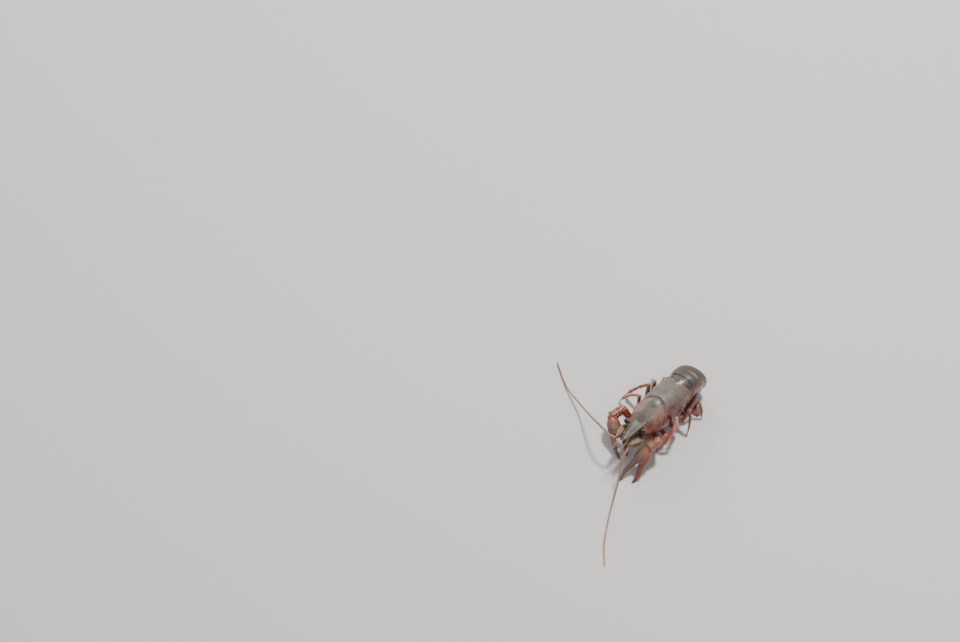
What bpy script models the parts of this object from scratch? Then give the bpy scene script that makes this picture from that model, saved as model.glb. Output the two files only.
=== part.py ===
"""A crayfish at life size, standing on a floor with its tail curled under it.

The animal faces -Y, its left side is +X and the floor is z = 0. Y = 0 is the hind edge of the
carapace on the midline of the back. Sizes are in millimetres, as points (left, back, up), and
are turned into metres when a node is made.
"""
import math
import random

import bmesh
import bpy
from mathutils import Vector

MM = 0.001
GAP = 0.3
SHARP_ANGLE = math.radians(40)
SIDES = {"L": 1, "R": -1}
LEFT = Vector((1, 0, 0))
BACK = Vector((0, 1, 0))
UP = Vector((0, 0, 1))

# Carapace: keys are (place along Y, size)
CARAPACE_LENGTH = 50.0
GROOVE_ROW = -0.33 * CARAPACE_LENGTH
FRONT_ROW = -0.71 * CARAPACE_LENGTH
SHELL_WIDTH = ((-35.5, 6.4), (-32, 7.6), (-28, 8.8), (-22, 9.9), (-16, 10.4), (-10, 10.5),
               (-4, 10.0), (0, 9.5), (3, 9.3))
SHELL_TOP = ((-35.5, 23.2), (-30, 24.6), (-24, 25.6), (-16, 26.0), (-8, 25.4), (-3, 24.4),
             (0, 23.7), (3, 23.5))
SHELL_MARGIN = ((-35.5, 11.5), (-30, 10.0), (-25, 8.8), (-20, 7.6), (-6, 7.6), (0, 8.8), (3, 10.0))
SHELL_TURN = 130
SHELL_WAIST = 0.42
SHELL_COLUMNS = 26
SHELL_LIP = 0.8
GROOVE_SWEEP = 13.5
GROOVE_DEPTH = 0.9
GROOVE_WIDTH = 1.0
REAR_FLARE = 2.0
REAR_TUCK = 2.5
TROUGH_HALF = 6.6
TROUGH_ROOF = 9.9
RECESS_DEPTH = 4.5
RECESS_FLOOR = 10.9
RIM_WALL = 0.9
SHELL_ROWS = (-0.9, -1.8, -3.0, -5.5, -8.5, -11.5, -14.0, -15.4, -16.1, GROOVE_ROW, -16.9, -17.7,
              -19.2, -21.5, -24.5, -27.5, -30.5, -33.0, FRONT_ROW)

# Ridge behind an eye: (row, angle, half width, height)
RIDGE = ((-26.5, 16.0, 0.35, 0.1), (-28.2, 16.5, 0.6, 0.4), (-30.4, 17.3, 0.7, 0.55),
         (-32.4, 18.4, 0.65, 0.6), (-33.8, 19.4, 0.5, 0.6))
RIDGE_TIP = (0.15, -1.6, 0.9)

# Spines of the shell: (row, angle, way it points, length)
SHELL_SPINES = ((-14.6, 78, (1.0, -0.9, 0.3), 1.5), (-32.4, 72, (0.4, -1.0, 0.0), 1.6))

# Rostrum: (place, half width, top, thickness)
ROSTRUM = ((-32.5, 3.4, 23.4, 4.0), (-35.5, 4.0, 23.4, 3.4), (-39.0, 3.4, 22.9, 2.6),
           (-43.0, 2.75, 22.2, 1.9), (-45.6, 2.35, 21.8, 1.5), (-46.4, 2.5, 21.7, 1.3),
           (-47.0, 1.3, 21.6, 1.1), (-48.8, 0.8, 21.5, 0.8), (-50.0, 0.3, 21.6, 0.5))
ROSTRUM_RIM = 0.6

# Body under the shell
STERNUM_TOP = TROUGH_ROOF - GAP
STERNUM_HALF = 5.6
STERNUM_FLOOR = 4.2
STERNUM_SEAMS = (-23.5, -18.2, -13.5, -8.9)
SEAM_DEPTH = 0.7
HIP = STERNUM_HALF + GAP

# Face under the beak: (place, half width, half height, middle)
FACE = ((FRONT_ROW - GAP, 2.8, 3.4, 15.2), (-38.0, 2.9, 3.2, 15.3), (-40.0, 2.8, 2.9, 15.5),
        (-41.2, 2.5, 2.6, 15.6))

# Tail: the back's line is an oval, and each ring looks down it at its own angle
TAIL_MIDDLE = (2.0, 10.0)
TAIL_REACH = 19.4
TAIL_RISE = 12.2
TAIL_DROP = 10.0
TAIL_PLACES = (-18.6, 10, 31, 54, 82, 119, 150)
TAIL_TILTS = (0, 16, 40, 66, 96, 128, 172)
TAIL_HALF = ((0, 7.4), (0.7, 7.6), (1, 8.3), (2, 9.1), (3, 9.0), (4, 8.6), (5, 7.8), (6, 6.6))
TAIL_BODY = ((0, 10.0), (1, 9.2), (2, 8.2), (3, 7.8), (4, 7.3), (5, 6.6), (6, 5.6))
TAIL_LOBE = (9.8, 12.0, 10.8, 10.0, 9.2, 7.2)
TAIL_ROWS = ((0.0, -0.7), (0.14, -0.65), (0.3, 0.0), (0.6, 0.15), (0.86, 0.2), (1.0, 0.0))
TAIL_ARCH = 14
DOME_PART = 0.66

# Walking legs: hip place, end of the short base, knee, bow of the lower leg, foot
LEGS = {
    "leg_2_L": (-20.6, (10.4, -22.6, 6.3), (11.6, -24.3, 8.9), (0.3, -0.8, 0.3), (8.4, -35.5, 0)),
    "leg_3_L": (-15.9, (12.4, -14.6, 6.4), (13.6, -17.5, 20.2), (2.4, 0.0, 0.6), (10.9, -31.2, 0)),
    "leg_4_L": (-11.2, (12.2, -9.2, 6.4), (13.9, -5.5, 15.2), (0.8, 0.6, 1.0), (17.6, -12.0, 0)),
    "leg_5_L": (-6.6, (10.8, -3.8, 6.3), (11.4, 4.6, 12.0), (0.8, 0.8, 1.0), (17.0, 2.6, 0)),
    "leg_2_R": (-20.6, (-11.8, -19.4, 6.4), (-13.3, -16.8, 17.2), (-1.5, 0.0, 1.2), (-26.0, -18.4, 0)),
    "leg_3_R": (-15.9, (-12.0, -12.8, 6.4), (-13.4, -8.0, 18.2), (-0.8, 0.0, 0.6), (-26.7, -13.6, 0)),
    "leg_4_R": (-11.2, (-11.9, -8.2, 6.4), (-13.2, -2.4, 15.0), (-1.2, 0.3, 0.8), (-19.2, 3.2, 0)),
    "leg_5_R": (-6.6, (-10.8, -4.0, 6.3), (-11.6, 3.6, 11.6), (-0.8, 0.6, 0.8), (-14.6, 10.4, 0)),
}
LEG_SIZE = {"2": 1.05, "3": 1.12, "4": 1.08, "5": 0.95}
LEG_SIDES = 8
HIP_HEIGHT = 5.6
NECK_START = 0.84
NECK_END = 0.9

# Claw limbs: hip, end of the base, elbow, wrist, end of the palm, tips of the two fingers
CLAW_LIMBS = {
    "L": ((HIP + 0.1, -26.5, 6.4), (8.1, -27.3, 7.0), (13.2, -33.4, 14.2), (11.0, -39.1, 12.5),
          (10.8, -46.8, 6.8), (13.7, -56.2, 0), (7.6, -59.5, 0)),
    "R": ((-HIP - 0.1, -26.5, 6.4), (-8.6, -27.2, 7.1), (-16.6, -27.9, 13.0), (-18.2, -36.0, 12.2),
          (-11.0, -40.0, 7.3), (-1.8, -48.2, 0), (0.0, -44.0, 0)),
}
# Base, arm, wrist and palm: half width at the start, at the end, flatness
CLAW_SIZES = ((1.8, 1.7, 0.95), (1.5, 2.6, 0.95), (2.4, 3.1, 0.95), (2.2, 2.0, 1.0))
CLAW_SIDES = 12
PALM = ((0.10, 2.5, 2.3), (0.35, 3.7, 2.8), (0.7, 4.2, 3.0), (1.0, 4.1, 2.7))
FINGER = ((0.0, 1.85, 2.0), (0.3, 1.55, 1.6), (0.62, 1.2, 1.25), (0.88, 0.8, 0.9), (1.0, 0.35, 0.5))
FINGER_APART = 2.15
TEETH = 5
PALM_BUMP_TURNS = (-168, -146, -118, -90, -60)

# Feelers: the way of each lash
FEELERS = {
    "L": ((4.35, -46.6, 17.9), (4.3, -48.3, 18.1), (5.8, -56.0, 15.6), (9.8, -64.0, 8.0),
          (14.0, -74.0, 2.6), (20.0, -86.0, 1.0), (27.0, -98.0, 0.8), (36.0, -109.0, 0.7)),
    "R": ((-4.6, -46.6, 18.0), (-4.9, -48.0, 18.3), (-8.0, -49.6, 19.0), (-13.0, -48.9, 19.2),
          (-19.0, -46.9, 17.4), (-27.0, -43.0, 12.4), (-40.0, -36.5, 5.4), (-55.0, -30.0, 1.3),
          (-70.0, -20.0, 0.7)),
}
FEELER_ROOT = 0.75
FEELER_TIP = 0.3
FEELER_SIDES = 6
FEELER_LENGTHS = 3
FEELER_ROWS = 12

EYE_RADIUS = 1.75
EYE_PLACE = (5.8, -37.8, 22.2)
EYE_CUT = 0.75
STALK_ROOT = (4.2, FRONT_ROW - GAP, 19.2)

# Other head parts: profiles are (part of length, half width, half height)
ANTENNULE = ((1.35, -41.5, 16.9), (1.7, -46.6, 18.7), (0.9, -58.0, 20.0), (2.8, -55.5, 16.6))
ANTENNULE_STEM = ((0.0, 0.95, 0.95), (0.14, 1.0, 1.0), (0.28, 0.75, 0.8), (0.36, 0.45, 0.5),
                  (0.7, 0.33, 0.33), (1.0, 0.25, 0.25))
ANTENNULE_BRANCH = ((0.0, 0.4, 0.4), (0.4, 0.33, 0.33), (1.0, 0.25, 0.25))
FEELER_STEM = ((4.5, FRONT_ROW - GAP, 15.0), (5.2, -40.0, 15.8), (4.7, -44.0, 17.5))
SCALE_WAY = ((5.2, FRONT_ROW - GAP, 17.4), (5.2, FRONT_ROW - GAP - 1.2, 17.4), (6.2, -40.5, 18.8),
             (4.5, -48.2, 20.4))
SCALE_OUTLINE = ((0.0, 0.75), (0.12, 1.0), (0.3, 1.4), (0.55, 1.5), (0.75, 1.3), (0.9, 0.8), (1.0, 0.3))
MOUTH_LEG = ((1.75, -33.3, 6.9), (2.5, -38.2, 7.4), (2.1, -41.6, 9.0), (1.6, -42.6, 11.4))

# Tail fan: blades are (part of length, half width), ways are points after the root
TELSON = ((0.0, 3.0), (0.1, 3.4), (0.3, 3.6), (0.55, 3.4), (0.62, 3.7), (0.68, 3.1), (0.85, 2.8),
          (0.95, 2.2), (1.0, 1.2))
TELSON_WAY = ((0, 8.0, 0.5), (0, 4.0, 0.42), (0, -0.6, 0.42))
LEAF = ((0.0, 1.2), (0.12, 1.3), (0.25, 1.9), (0.45, 2.7), (0.65, 3.0), (0.82, 2.8), (0.94, 2.0),
        (1.0, 0.9))
INNER_WAY = ((4.4, 8.6, 3.7), (6.2, 5.0, 2.4), (8.4, 0.2, 1.9))
OUTER_WAY = ((7.4, 9.6, 1.0), (9.8, 7.2, 0.36), (14.0, 3.0, 0.36))

FINISHES = {
    "shell": ((0.19, 0.15, 0.13), 0.3),
    "belly": ((0.45, 0.30, 0.22), 0.45),
    "claw": ((0.50, 0.09, 0.05), 0.3),
    "leg": ((0.55, 0.16, 0.11), 0.3),
    "feeler": ((0.50, 0.33, 0.22), 0.45),
    "eye": ((0.01, 0.01, 0.01), 0.1),
    "tail": ((0.16, 0.12, 0.10), 0.3),
    "fan": ((0.25, 0.03, 0.02), 0.3),
}


def curve_value(keys, place):
    """Read a smooth curve through (place, value) keys, which stand in rising order."""
    if place <= keys[0][0]:
        return keys[0][1]
    if place >= keys[-1][0]:
        return keys[-1][1]
    index = max(k for k in range(len(keys) - 1) if keys[k][0] <= place)
    (start, low), (end, high) = keys[index], keys[index + 1]
    before = keys[max(index - 1, 0)]
    after = keys[min(index + 2, len(keys) - 1)]
    span = end - start
    leave = (high - before[1]) / (end - before[0]) * span
    arrive = (after[1] - low) / (after[0] - start) * span
    s = (place - start) / span
    return ((2 * s ** 3 - 3 * s ** 2 + 1) * low + (s ** 3 - 2 * s ** 2 + s) * leave
            + (3 * s ** 2 - 2 * s ** 3) * high + (s ** 3 - s ** 2) * arrive)


def smooth_path(points, steps=10):
    """Points along a smooth curve through the given ones."""
    points = [Vector(p) for p in points]
    keys = [[(k, point[axis]) for k, point in enumerate(points)] for axis in range(3)]
    count = (len(points) - 1) * steps
    places = [k / steps for k in range(count + 1)]
    return [Vector([curve_value(keys[axis], place) for axis in range(3)]) for place in places]


def along_path(path, part):
    """The point and direction at a part, 0 to 1, of a path's length."""
    lengths = [(b - a).length for a, b in zip(path, path[1:])]
    left = part * sum(lengths)
    for k, length in enumerate(lengths):
        if left <= length or k == len(lengths) - 1:
            step = path[k + 1] - path[k]
            return path[k] + step * (left / length), step.normalized()
        left -= length


def ring(centre, along, up, half_width, half_height, sides, cut=None):
    """A ring of points round a centre; cut is the normal of its plane where it is slanted."""
    along = along.normalized()
    side = along.cross(up).normalized()
    top = side.cross(along)
    points = []
    for k in range(sides):
        angle = 2 * math.pi * (k + 0.5) / sides
        offset = side * half_width * math.cos(angle) + top * half_height * math.sin(angle)
        if cut:
            offset -= along * (offset.dot(cut) / along.dot(cut))
        points.append(centre + offset)
    return points


def skin(rings):
    """The closed surface through a list of rings; a ring of one point is a tip."""
    points = [point for row in rings for point in row]
    faces = []
    start = 0
    for row, following in zip(rings, rings[1:]):
        after = start + len(row)
        count = max(len(row), len(following))
        for k in range(count):
            j = (k + 1) % count
            corners = (start + k % len(row), start + j % len(row),
                       after + j % len(following), after + k % len(following))
            faces.append(tuple(dict.fromkeys(corners)))
        start = after
    if len(rings[0]) > 1:
        faces.append(tuple(reversed(range(len(rings[0])))))
    if len(rings[-1]) > 1:
        faces.append(tuple(range(start, start + len(rings[-1]))))
    return points, faces


def vane(rows):
    """A thin blade from rows of (upper, lower) points, split alike on both faces."""
    columns = len(rows[0])
    points = [point for row in rows for pair in row for point in pair]

    def upper(r, c):
        return 2 * (r * columns + c)

    faces = []
    for r in range(len(rows) - 1):
        for c in range(columns - 1):
            a, b, d, e = upper(r, c), upper(r, c + 1), upper(r + 1, c + 1), upper(r + 1, c)
            faces += [(a, b, d), (a, d, e), (d + 1, b + 1, a + 1), (e + 1, d + 1, a + 1)]
        for c, turn in ((0, 1), (columns - 1, -1)):
            edge = (upper(r, c), upper(r + 1, c), upper(r + 1, c) + 1, upper(r, c) + 1)
            faces.append(edge[::turn])
    for r, turn in ((0, -1), (len(rows) - 1, 1)):
        for c in range(columns - 1):
            edge = (upper(r, c), upper(r, c + 1), upper(r, c + 1) + 1, upper(r, c) + 1)
            faces.append(edge[::turn])
    return points, faces


def blade(path, up, outline, thickness, columns=7, rib=0.0):
    """A vane along a path; outline gives (part of length, half width), with a rib down it."""
    rows = []
    for part, half in outline:
        centre, along = along_path(path, part)
        side = along.cross(up).normalized()
        top = side.cross(along)
        row = []
        for c in range(columns):
            across = 2 * c / (columns - 1) - 1
            rise = rib * math.exp(-(across / 0.25) ** 2) * (1 - part * 0.6)
            half_thick = thickness / 2 * (1 - 0.35 * abs(across) ** 2)
            middle = centre + side * half * across
            row.append((middle + top * (half_thick + rise), middle - top * half_thick))
        rows.append(row)
    return vane(rows)


def stand_clear(points, low=0.0):
    """Flatten what would pass below the floor."""
    return [Vector((p.x, p.y, max(p.z, low))) for p in points]


def spike(root, direction, length, radius, sink=0.8, sides=5, blunt=False):
    """A cone, or a blunt bump, whose root is sunk below the surface point it stands on."""
    direction = direction.normalized()
    across = UP if abs(direction.z) < 0.9 else BACK
    rings = [ring(root - direction * sink, direction, across, radius, radius, sides)]
    if blunt:
        shoulder = root + direction * length * 0.55
        rings.append(ring(shoulder, direction, across, radius * 0.75, radius * 0.75, sides))
    rings.append([root + direction * length])
    return skin(rings)


def mesh_object(name, points, faces):
    """A new mesh object, in millimetres, with its faces turned outward."""
    mesh = bpy.data.meshes.new(name)
    mesh.from_pydata([tuple(point) for point in points], [], faces)
    work = bmesh.new()
    work.from_mesh(mesh)
    bmesh.ops.recalc_face_normals(work, faces=work.faces)
    work.to_mesh(mesh)
    work.free()
    return bpy.data.objects.new(name, mesh)


def keep_largest(mesh):
    """Leave only the closed surface that has the most area."""
    work = bmesh.new()
    work.from_mesh(mesh)
    left = set(work.faces)
    shells = []
    while left:
        shell = {left.pop()}
        edge = list(shell)
        while edge:
            near = {f for e in edge.pop().edges for f in e.link_faces} - shell
            shell |= near
            edge += near
        left -= shell
        shells.append(shell)
    largest = max(shells, key=lambda faces: sum(f.calc_area() for f in faces))
    scraps = [f for f in work.faces if f not in largest]
    bmesh.ops.delete(work, geom=scraps, context="FACES")
    work.to_mesh(mesh)
    work.free()


def fuse(body, forms):
    """Join small closed forms to a body with one Boolean over their collection."""
    scene = bpy.context.scene.collection
    group = bpy.data.collections.new(body.name + "_forms")
    scene.children.link(group)
    pieces = [mesh_object(f"{body.name}_form_{k}", *form) for k, form in enumerate(forms)]
    for piece in pieces:
        group.objects.link(piece)
    union = body.modifiers.new("Forms", "BOOLEAN")
    union.operation = "UNION"
    union.operand_type = "COLLECTION"
    union.collection = group
    union.solver = "EXACT"
    bpy.context.view_layer.objects.active = body
    bpy.ops.object.modifier_apply(modifier=union.name)
    for piece in pieces:
        bpy.data.objects.remove(piece)
    bpy.data.collections.remove(group)
    keep_largest(body.data)


def finish(name, kind):
    """The node's own material."""
    colour, roughness = FINISHES[kind]
    material = bpy.data.materials.new(name)
    material.use_nodes = True
    shader = material.node_tree.nodes["Principled BSDF"]
    shader.inputs["Base Color"].default_value = (*colour, 1)
    shader.inputs["Roughness"].default_value = roughness
    shader.inputs["Metallic"].default_value = 0
    return material


def add_node(name, kind, solid, forms=(), origin=None):
    """Make one named sub-part, in metres, with its origin where it grows from the body."""
    points, faces = solid
    body = mesh_object(name, points, faces)
    bpy.context.scene.collection.objects.link(body)
    if forms:
        fuse(body, forms)
    origin = Vector(origin) if origin else points[0]
    for vertex in body.data.vertices:
        vertex.co = (vertex.co - origin) * MM
    body.location = origin * MM
    body.data.materials.append(finish(name, kind))
    body.data.shade_smooth()
    body.data.set_sharp_from_angle(angle=SHARP_ANGLE)
    return body


# Carapace

def row_place(row, part):
    """Where a row of the shell lies along Y, part of the way (0 to 1) down the flank."""
    groove = -GROOVE_SWEEP * math.sin(part * math.pi / 2) ** 2
    if row > GROOVE_ROW:
        share = row / GROOVE_ROW
        share = share * share * (3 - 2 * share)
        rear = REAR_FLARE * math.sin(math.pi * part) - REAR_TUCK * part ** 4
        return row + rear * (1 - share) + groove * share
    share = (row - FRONT_ROW) / (GROOVE_ROW - FRONT_ROW)
    return row + groove * max(share, 0.0)


def shell_relief(row, angle):
    """How far the shell stands out or sinks in: the neck groove, the rear rim, the back's seam."""
    fade = 1 - 0.6 * max(0.0, (abs(angle) - 95) / (SHELL_TURN - 95))
    groove = -GROOVE_DEPTH * math.exp(-((row - GROOVE_ROW) / GROOVE_WIDTH) ** 2) * fade
    rim = 0.2 * math.exp(-(row / 0.7) ** 2) - 0.35 * math.exp(-((row + 1.8) / 0.6) ** 2)
    seam = -0.35 * math.exp(-(angle / 5) ** 2) if GROOVE_ROW < row < -2.5 else 0.0
    cheek = 0.5 * math.exp(-((row + 20) / 2.5) ** 2)
    return groove + rim + seam + cheek


def shell_point(row, angle, inset=0.0):
    """A point of the shell; angle runs from 0 on the back to SHELL_TURN at a lower edge."""
    y = row_place(row, abs(angle) / SHELL_TURN)
    width = curve_value(SHELL_WIDTH, y)
    top = curve_value(SHELL_TOP, y)
    margin = curve_value(SHELL_MARGIN, y)
    waist = margin + SHELL_WAIST * (top - margin)
    turn = math.radians(angle)
    x = width * math.sin(turn)
    if abs(angle) <= 90:
        z = (top - waist) * math.cos(turn)
    else:
        z = (waist - margin) * math.cos(turn) / -math.cos(math.radians(SHELL_TURN))
    grow = 1 + (shell_relief(row, angle) - inset) / math.hypot(x, z)
    return Vector((x * grow, y, waist + z * grow))


def shell_row(row):
    """One closed row: over the back from the left edge to the right, and back underneath."""
    angles = [SHELL_TURN * (1 - 2 * k / SHELL_COLUMNS) for k in range(SHELL_COLUMNS + 1)]
    outer = [shell_point(row, angle) for angle in angles]
    edge = outer[0]
    lip = edge.x - SHELL_LIP
    trough = min(TROUGH_HALF, lip - 0.4)
    roof = max(TROUGH_ROOF, edge.z + 0.3)
    under = [(-lip, edge.z), (-trough, roof), (trough, roof), (lip, edge.z)]
    return outer + [Vector((x, edge.y, z)) for x, z in under]


def recess_row(inset, y=None):
    """A row of the hollow behind the rear rim that takes the tail's first ring."""
    rim = shell_row(0.0)
    points = []
    for k, point in enumerate(rim):
        if k <= SHELL_COLUMNS:
            point = shell_point(0.0, SHELL_TURN * (1 - 2 * k / SHELL_COLUMNS), inset)
        place = point.y if y is None else y
        points.append(Vector((point.x, place, max(point.z, RECESS_FLOOR))))
    return points


def rostrum():
    """The beak between the eyes: hollow on top between two raised rims, with side spines."""
    rings = []
    for y, half, top, thick in ROSTRUM:
        rim = min(ROSTRUM_RIM, half * 0.5)
        outline = [(half, -0.45 * thick), (half, 0.0), (half - rim * 0.6, rim * 0.7),
                   (half - rim * 1.5, 0.0), (0.0, -0.15 * half),
                   (-half + rim * 1.5, 0.0), (-half + rim * 0.6, rim * 0.7), (-half, 0.0),
                   (-half, -0.45 * thick), (0.0, -thick)]
        rings.append([Vector((x, y, top + z)) for x, z in outline])
    return skin(rings)


def mirrored(point, side):
    """A point given for the left side, moved to the side asked for."""
    return Vector((point[0] * side, point[1], point[2]))


def ridge(side):
    """The ridge behind an eye, which ends in front in a spine."""
    rings = []
    for row, angle, half, height in RIDGE:
        spot = shell_point(row, angle * side)
        rings.append(ring(spot + UP * (height - half), -BACK, UP, half, half, 6))
    return skin(rings + [[spot + mirrored(RIDGE_TIP, side)]])


def make_carapace():
    """The shell over head and chest, with beak, ridges behind the eyes and spines."""
    rings = [recess_row(RIM_WALL + 0.3, -RECESS_DEPTH), recess_row(RIM_WALL), shell_row(0.0)]
    rings += [shell_row(row) for row in SHELL_ROWS]
    forms = [rostrum()]
    for side in SIDES.values():
        forms.append(ridge(side))
        for row, angle, way, length in SHELL_SPINES:
            forms.append(spike(shell_point(row, angle * side), mirrored(way, side), length, 0.7))
    add_node("carapace", "shell", skin(rings), forms, (0, 0, RECESS_FLOOR))


def make_sternum():
    """The chest's floor, grooved between the legs, with flat flanks that the legs stand against."""
    rows = [(-33.0, 3.2, 5.2, 8.8), (-31.0, 4.6, 4.6, 8.9), (-29.2, STERNUM_HALF, STERNUM_FLOOR, 9.0),
            (-27.5, STERNUM_HALF, STERNUM_FLOOR, 9.3)]
    for seam in STERNUM_SEAMS:
        for step, depth in ((-1.0, 0.0), (0.0, SEAM_DEPTH), (1.0, 0.0)):
            rows.append((seam + step, STERNUM_HALF, STERNUM_FLOOR + depth, STERNUM_TOP))
    rows += [(-4.6, STERNUM_HALF, STERNUM_FLOOR, STERNUM_TOP), (-2.2, 5.0, 5.0, STERNUM_TOP),
             (-1.8, 4.6, 5.6, 10.6), (1.6, 3.6, 8.6, 10.8)]
    rings = []
    for y, half, low, high in rows:
        shelf = min(low, STERNUM_FLOOR) + 0.25 if half == STERNUM_HALF else low + 0.25
        outline = ((half, high), (half, shelf), (half * 0.6, low), (half * 0.15, low + 0.6),
                   (-half * 0.15, low + 0.6), (-half * 0.6, low), (-half, shelf), (-half, high))
        rings.append([Vector((x, y, z)) for x, z in outline])
    add_node("sternum", "belly", skin(rings), origin=(0, -18, STERNUM_FLOOR))


def make_epistome():
    """The face under the beak, between the feelers."""
    rings = [ring(Vector((0, y, z)), -BACK, UP, half, tall, 12) for y, half, tall, z in FACE]
    add_node("epistome", "belly", skin(rings), origin=(0, FRONT_ROW, 15))


# Limbs

def corner_room(before, after, thin, thick):
    """How far from a bend the rings beside it stand, so that they don't cross inside it."""
    size = max(thin * NECK_END, thick * NECK_START)
    return size * math.tan(before.angle(after) / 2) + GAP + 0.15


def limb(points, sizes, up, sides, cut=None, foot=False):
    """The rings of a jointed limb, as one list for each of its lengths.

    Each size is (half width at the start, at the end, flatness). A length starts with the
    rings of the bend before it, so it can be parted there from the one before.
    """
    points = [Vector(point) for point in points]
    steps = [(b - a).normalized() for a, b in zip(points, points[1:])]
    frame_up = Vector(up)
    lengths = []
    for k, step in enumerate(steps):
        thick, thin, flat = sizes[k]
        start, end = points[k], points[k + 1]
        rings = []
        head = 0.0
        if k:
            frame_up.rotate(steps[k - 1].rotation_difference(step))
            size = min(sizes[k - 1][1], thick)
            head = corner_room(steps[k - 1], step, sizes[k - 1][1], thick)
            bend = (steps[k - 1] + step).normalized()
            if steps[k - 1].angle(step) > math.radians(30):
                knuckle = ring(start, step, frame_up, size * 0.92, size * 0.92 * flat, sides, bend)
                rings.append([start + (p - start) * 0.9 for p in knuckle])
        tail = 0.0
        if k < len(steps) - 1:
            tail = corner_room(step, steps[k + 1], thin, sizes[k + 1][0])
        length = (end - start).length
        span = length - head - tail
        places = ((head, thick * NECK_START), (head + span * (0.2 if k else 0.5), thick),
                  (head + span * 0.8, thin), (length - tail, thin * NECK_END))
        for n, (place, half) in enumerate(places):
            plane = None
            if not k and not n:
                plane = cut
            if foot and k == len(steps) - 1 and n == 3:
                plane = -UP
            rings.append(ring(start + step * place, step, frame_up, half, half * flat, sides, plane))
        lengths.append(rings)
    return lengths


def surface_spot(near, far, corner, part):
    """A point on the skin between two rings, and the way out from it."""
    spot = near[corner].lerp(far[corner], part)
    return spot, (spot - middle_of(near).lerp(middle_of(far), part)).normalized()


def part_from(before, rings, step):
    """Open a gap between two lengths of one limb: a copy of the last ring, moved on."""
    facing = [point + step * GAP for point in before[-1]]
    return [facing] + rings


def middle_of(points):
    return sum(points, Vector()) / len(points)


def lower_leg(knee, bow, foot):
    """The wrist and toe joints of a walking leg, on a bowed line from knee to foot."""
    knee, bow, foot = Vector(knee), Vector(bow), Vector(foot)
    return [knee.lerp(foot, part) + bow * math.sin(math.pi * part) * 1.2 for part in (0.32, 0.72)]


def make_leg(name):
    """A walking leg as an upper and a lower node; the second and third end in small pincers."""
    hip_row, base, knee, bow, foot = LEGS[name]
    number, side = name[4], SIDES[name[-1]]
    size = LEG_SIZE[number]
    joints = lower_leg(knee, bow, foot)
    points = [(HIP * side, hip_row, HIP_HEIGHT), base, knee, *joints, foot]
    pincer = number in "23"
    palm = 1.0 if pincer else 0.72
    sizes = ((1.25 * size, 1.2 * size, 1.0), (1.1 * size, 1.2 * size, 1.0),
             (0.95 * size, 1.0 * size, 1.0), (0.85 * size, palm * size, 1.0),
             (0.62 * size, 0.42, 1.0))
    hip, thigh, wrist, hand, toe = limb(points, sizes, BACK, LEG_SIDES, LEFT * side, foot=True)
    knee_step = (Vector(knee) - Vector(base)).normalized()
    lower = part_from(thigh, wrist, knee_step) + hand + toe
    forms = []
    if pincer:
        step = (Vector(foot) - joints[1]).normalized()
        across = step.cross(Vector((side, 0, 0.2))).normalized() * 0.95
        root = joints[1] - step * 0.9 + across * 0.3
        tip = Vector(foot) - step * 0.9 + across * 0.55
        rows = ((0.0, 0.5), (0.25, 0.6), (0.7, 0.42), (1.0, 0.25))
        bowed = [root, root.lerp(tip, 0.5) + across * 0.75, tip]
        path = smooth_path(bowed)
        rings = []
        for part, half in rows:
            centre, along = along_path(path, part)
            rings.append(stand_clear(ring(centre, along, UP, half, half, 6)))
        forms.append(skin(rings))
    add_node(name + "_upper", "leg", skin(hip + thigh), origin=points[0])
    add_node(name + "_lower", "leg", skin(lower), forms, knee)


def claw_frame(letter):
    """The palm's direction, its outer side and its upper side."""
    wrist, palm_end, outer_tip, inner_tip = [Vector(p) for p in CLAW_LIMBS[letter][3:]]
    along = (palm_end - wrist).normalized()
    outward = (outer_tip - inner_tip).normalized()
    up = outward.cross(along) * SIDES[letter]
    up = (up if up.z > 0 else -up).normalized()
    outward = (outward - along * outward.dot(along)).normalized()
    return along, outward, up


def finger(root, tip, along, outward, up, bow):
    """Rings and path of one finger of a claw, from the palm's end to a tip flat on the floor."""
    middle = root.lerp(tip, 0.55) + outward * bow
    path = smooth_path([root, root + along * 2.0 + outward * bow * 0.25, middle, tip])
    rings = []
    for part, half, tall in FINGER:
        centre, direction = along_path(path, part)
        if not part:
            direction = along
        cut = -UP if part == 1.0 else None
        rings.append(stand_clear(ring(centre, direction, up, half, tall, CLAW_SIDES, cut)))
    return rings, path


def teeth(path, outward, seed):
    """Blunt teeth along the biting edge of a finger."""
    draw = random.Random(seed)
    forms = []
    for k in range(TEETH):
        part = 0.14 + 0.66 * k / (TEETH - 1)
        centre, along = along_path(path, part)
        size = draw.uniform(0.42, 0.6) * (1.15 - 0.5 * part)
        width = curve_value([(row[0], row[1]) for row in FINGER], part)
        forms.append(spike(centre - outward * (width - 0.12), -outward, size, size, 0.5, 5, True))
    return forms


def palm_bumps(wrist, along, outward, up, length, seed):
    """Rows of blunt bumps on the palm's upper side and along its inner edge."""
    draw = random.Random(seed)
    forms = []
    for row, turn in enumerate(PALM_BUMP_TURNS):
        for k in range(4 if row < 2 else 3):
            part = 0.3 + 0.19 * k + 0.06 * (row % 2) + draw.uniform(-0.02, 0.02)
            half = curve_value([(p, w) for p, w, h in PALM], part)
            tall = curve_value([(p, h) for p, w, h in PALM], part)
            angle = math.radians(turn + draw.uniform(-5, 5))
            away = outward * half * math.cos(angle) - up * tall * math.sin(angle)
            root = wrist + along * length * part + away * 0.97
            size = draw.uniform(0.5, 0.7)
            forms.append(spike(root, away.normalized() + along * 0.4, size, size, 0.5, 5, True))
    return forms


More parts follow.
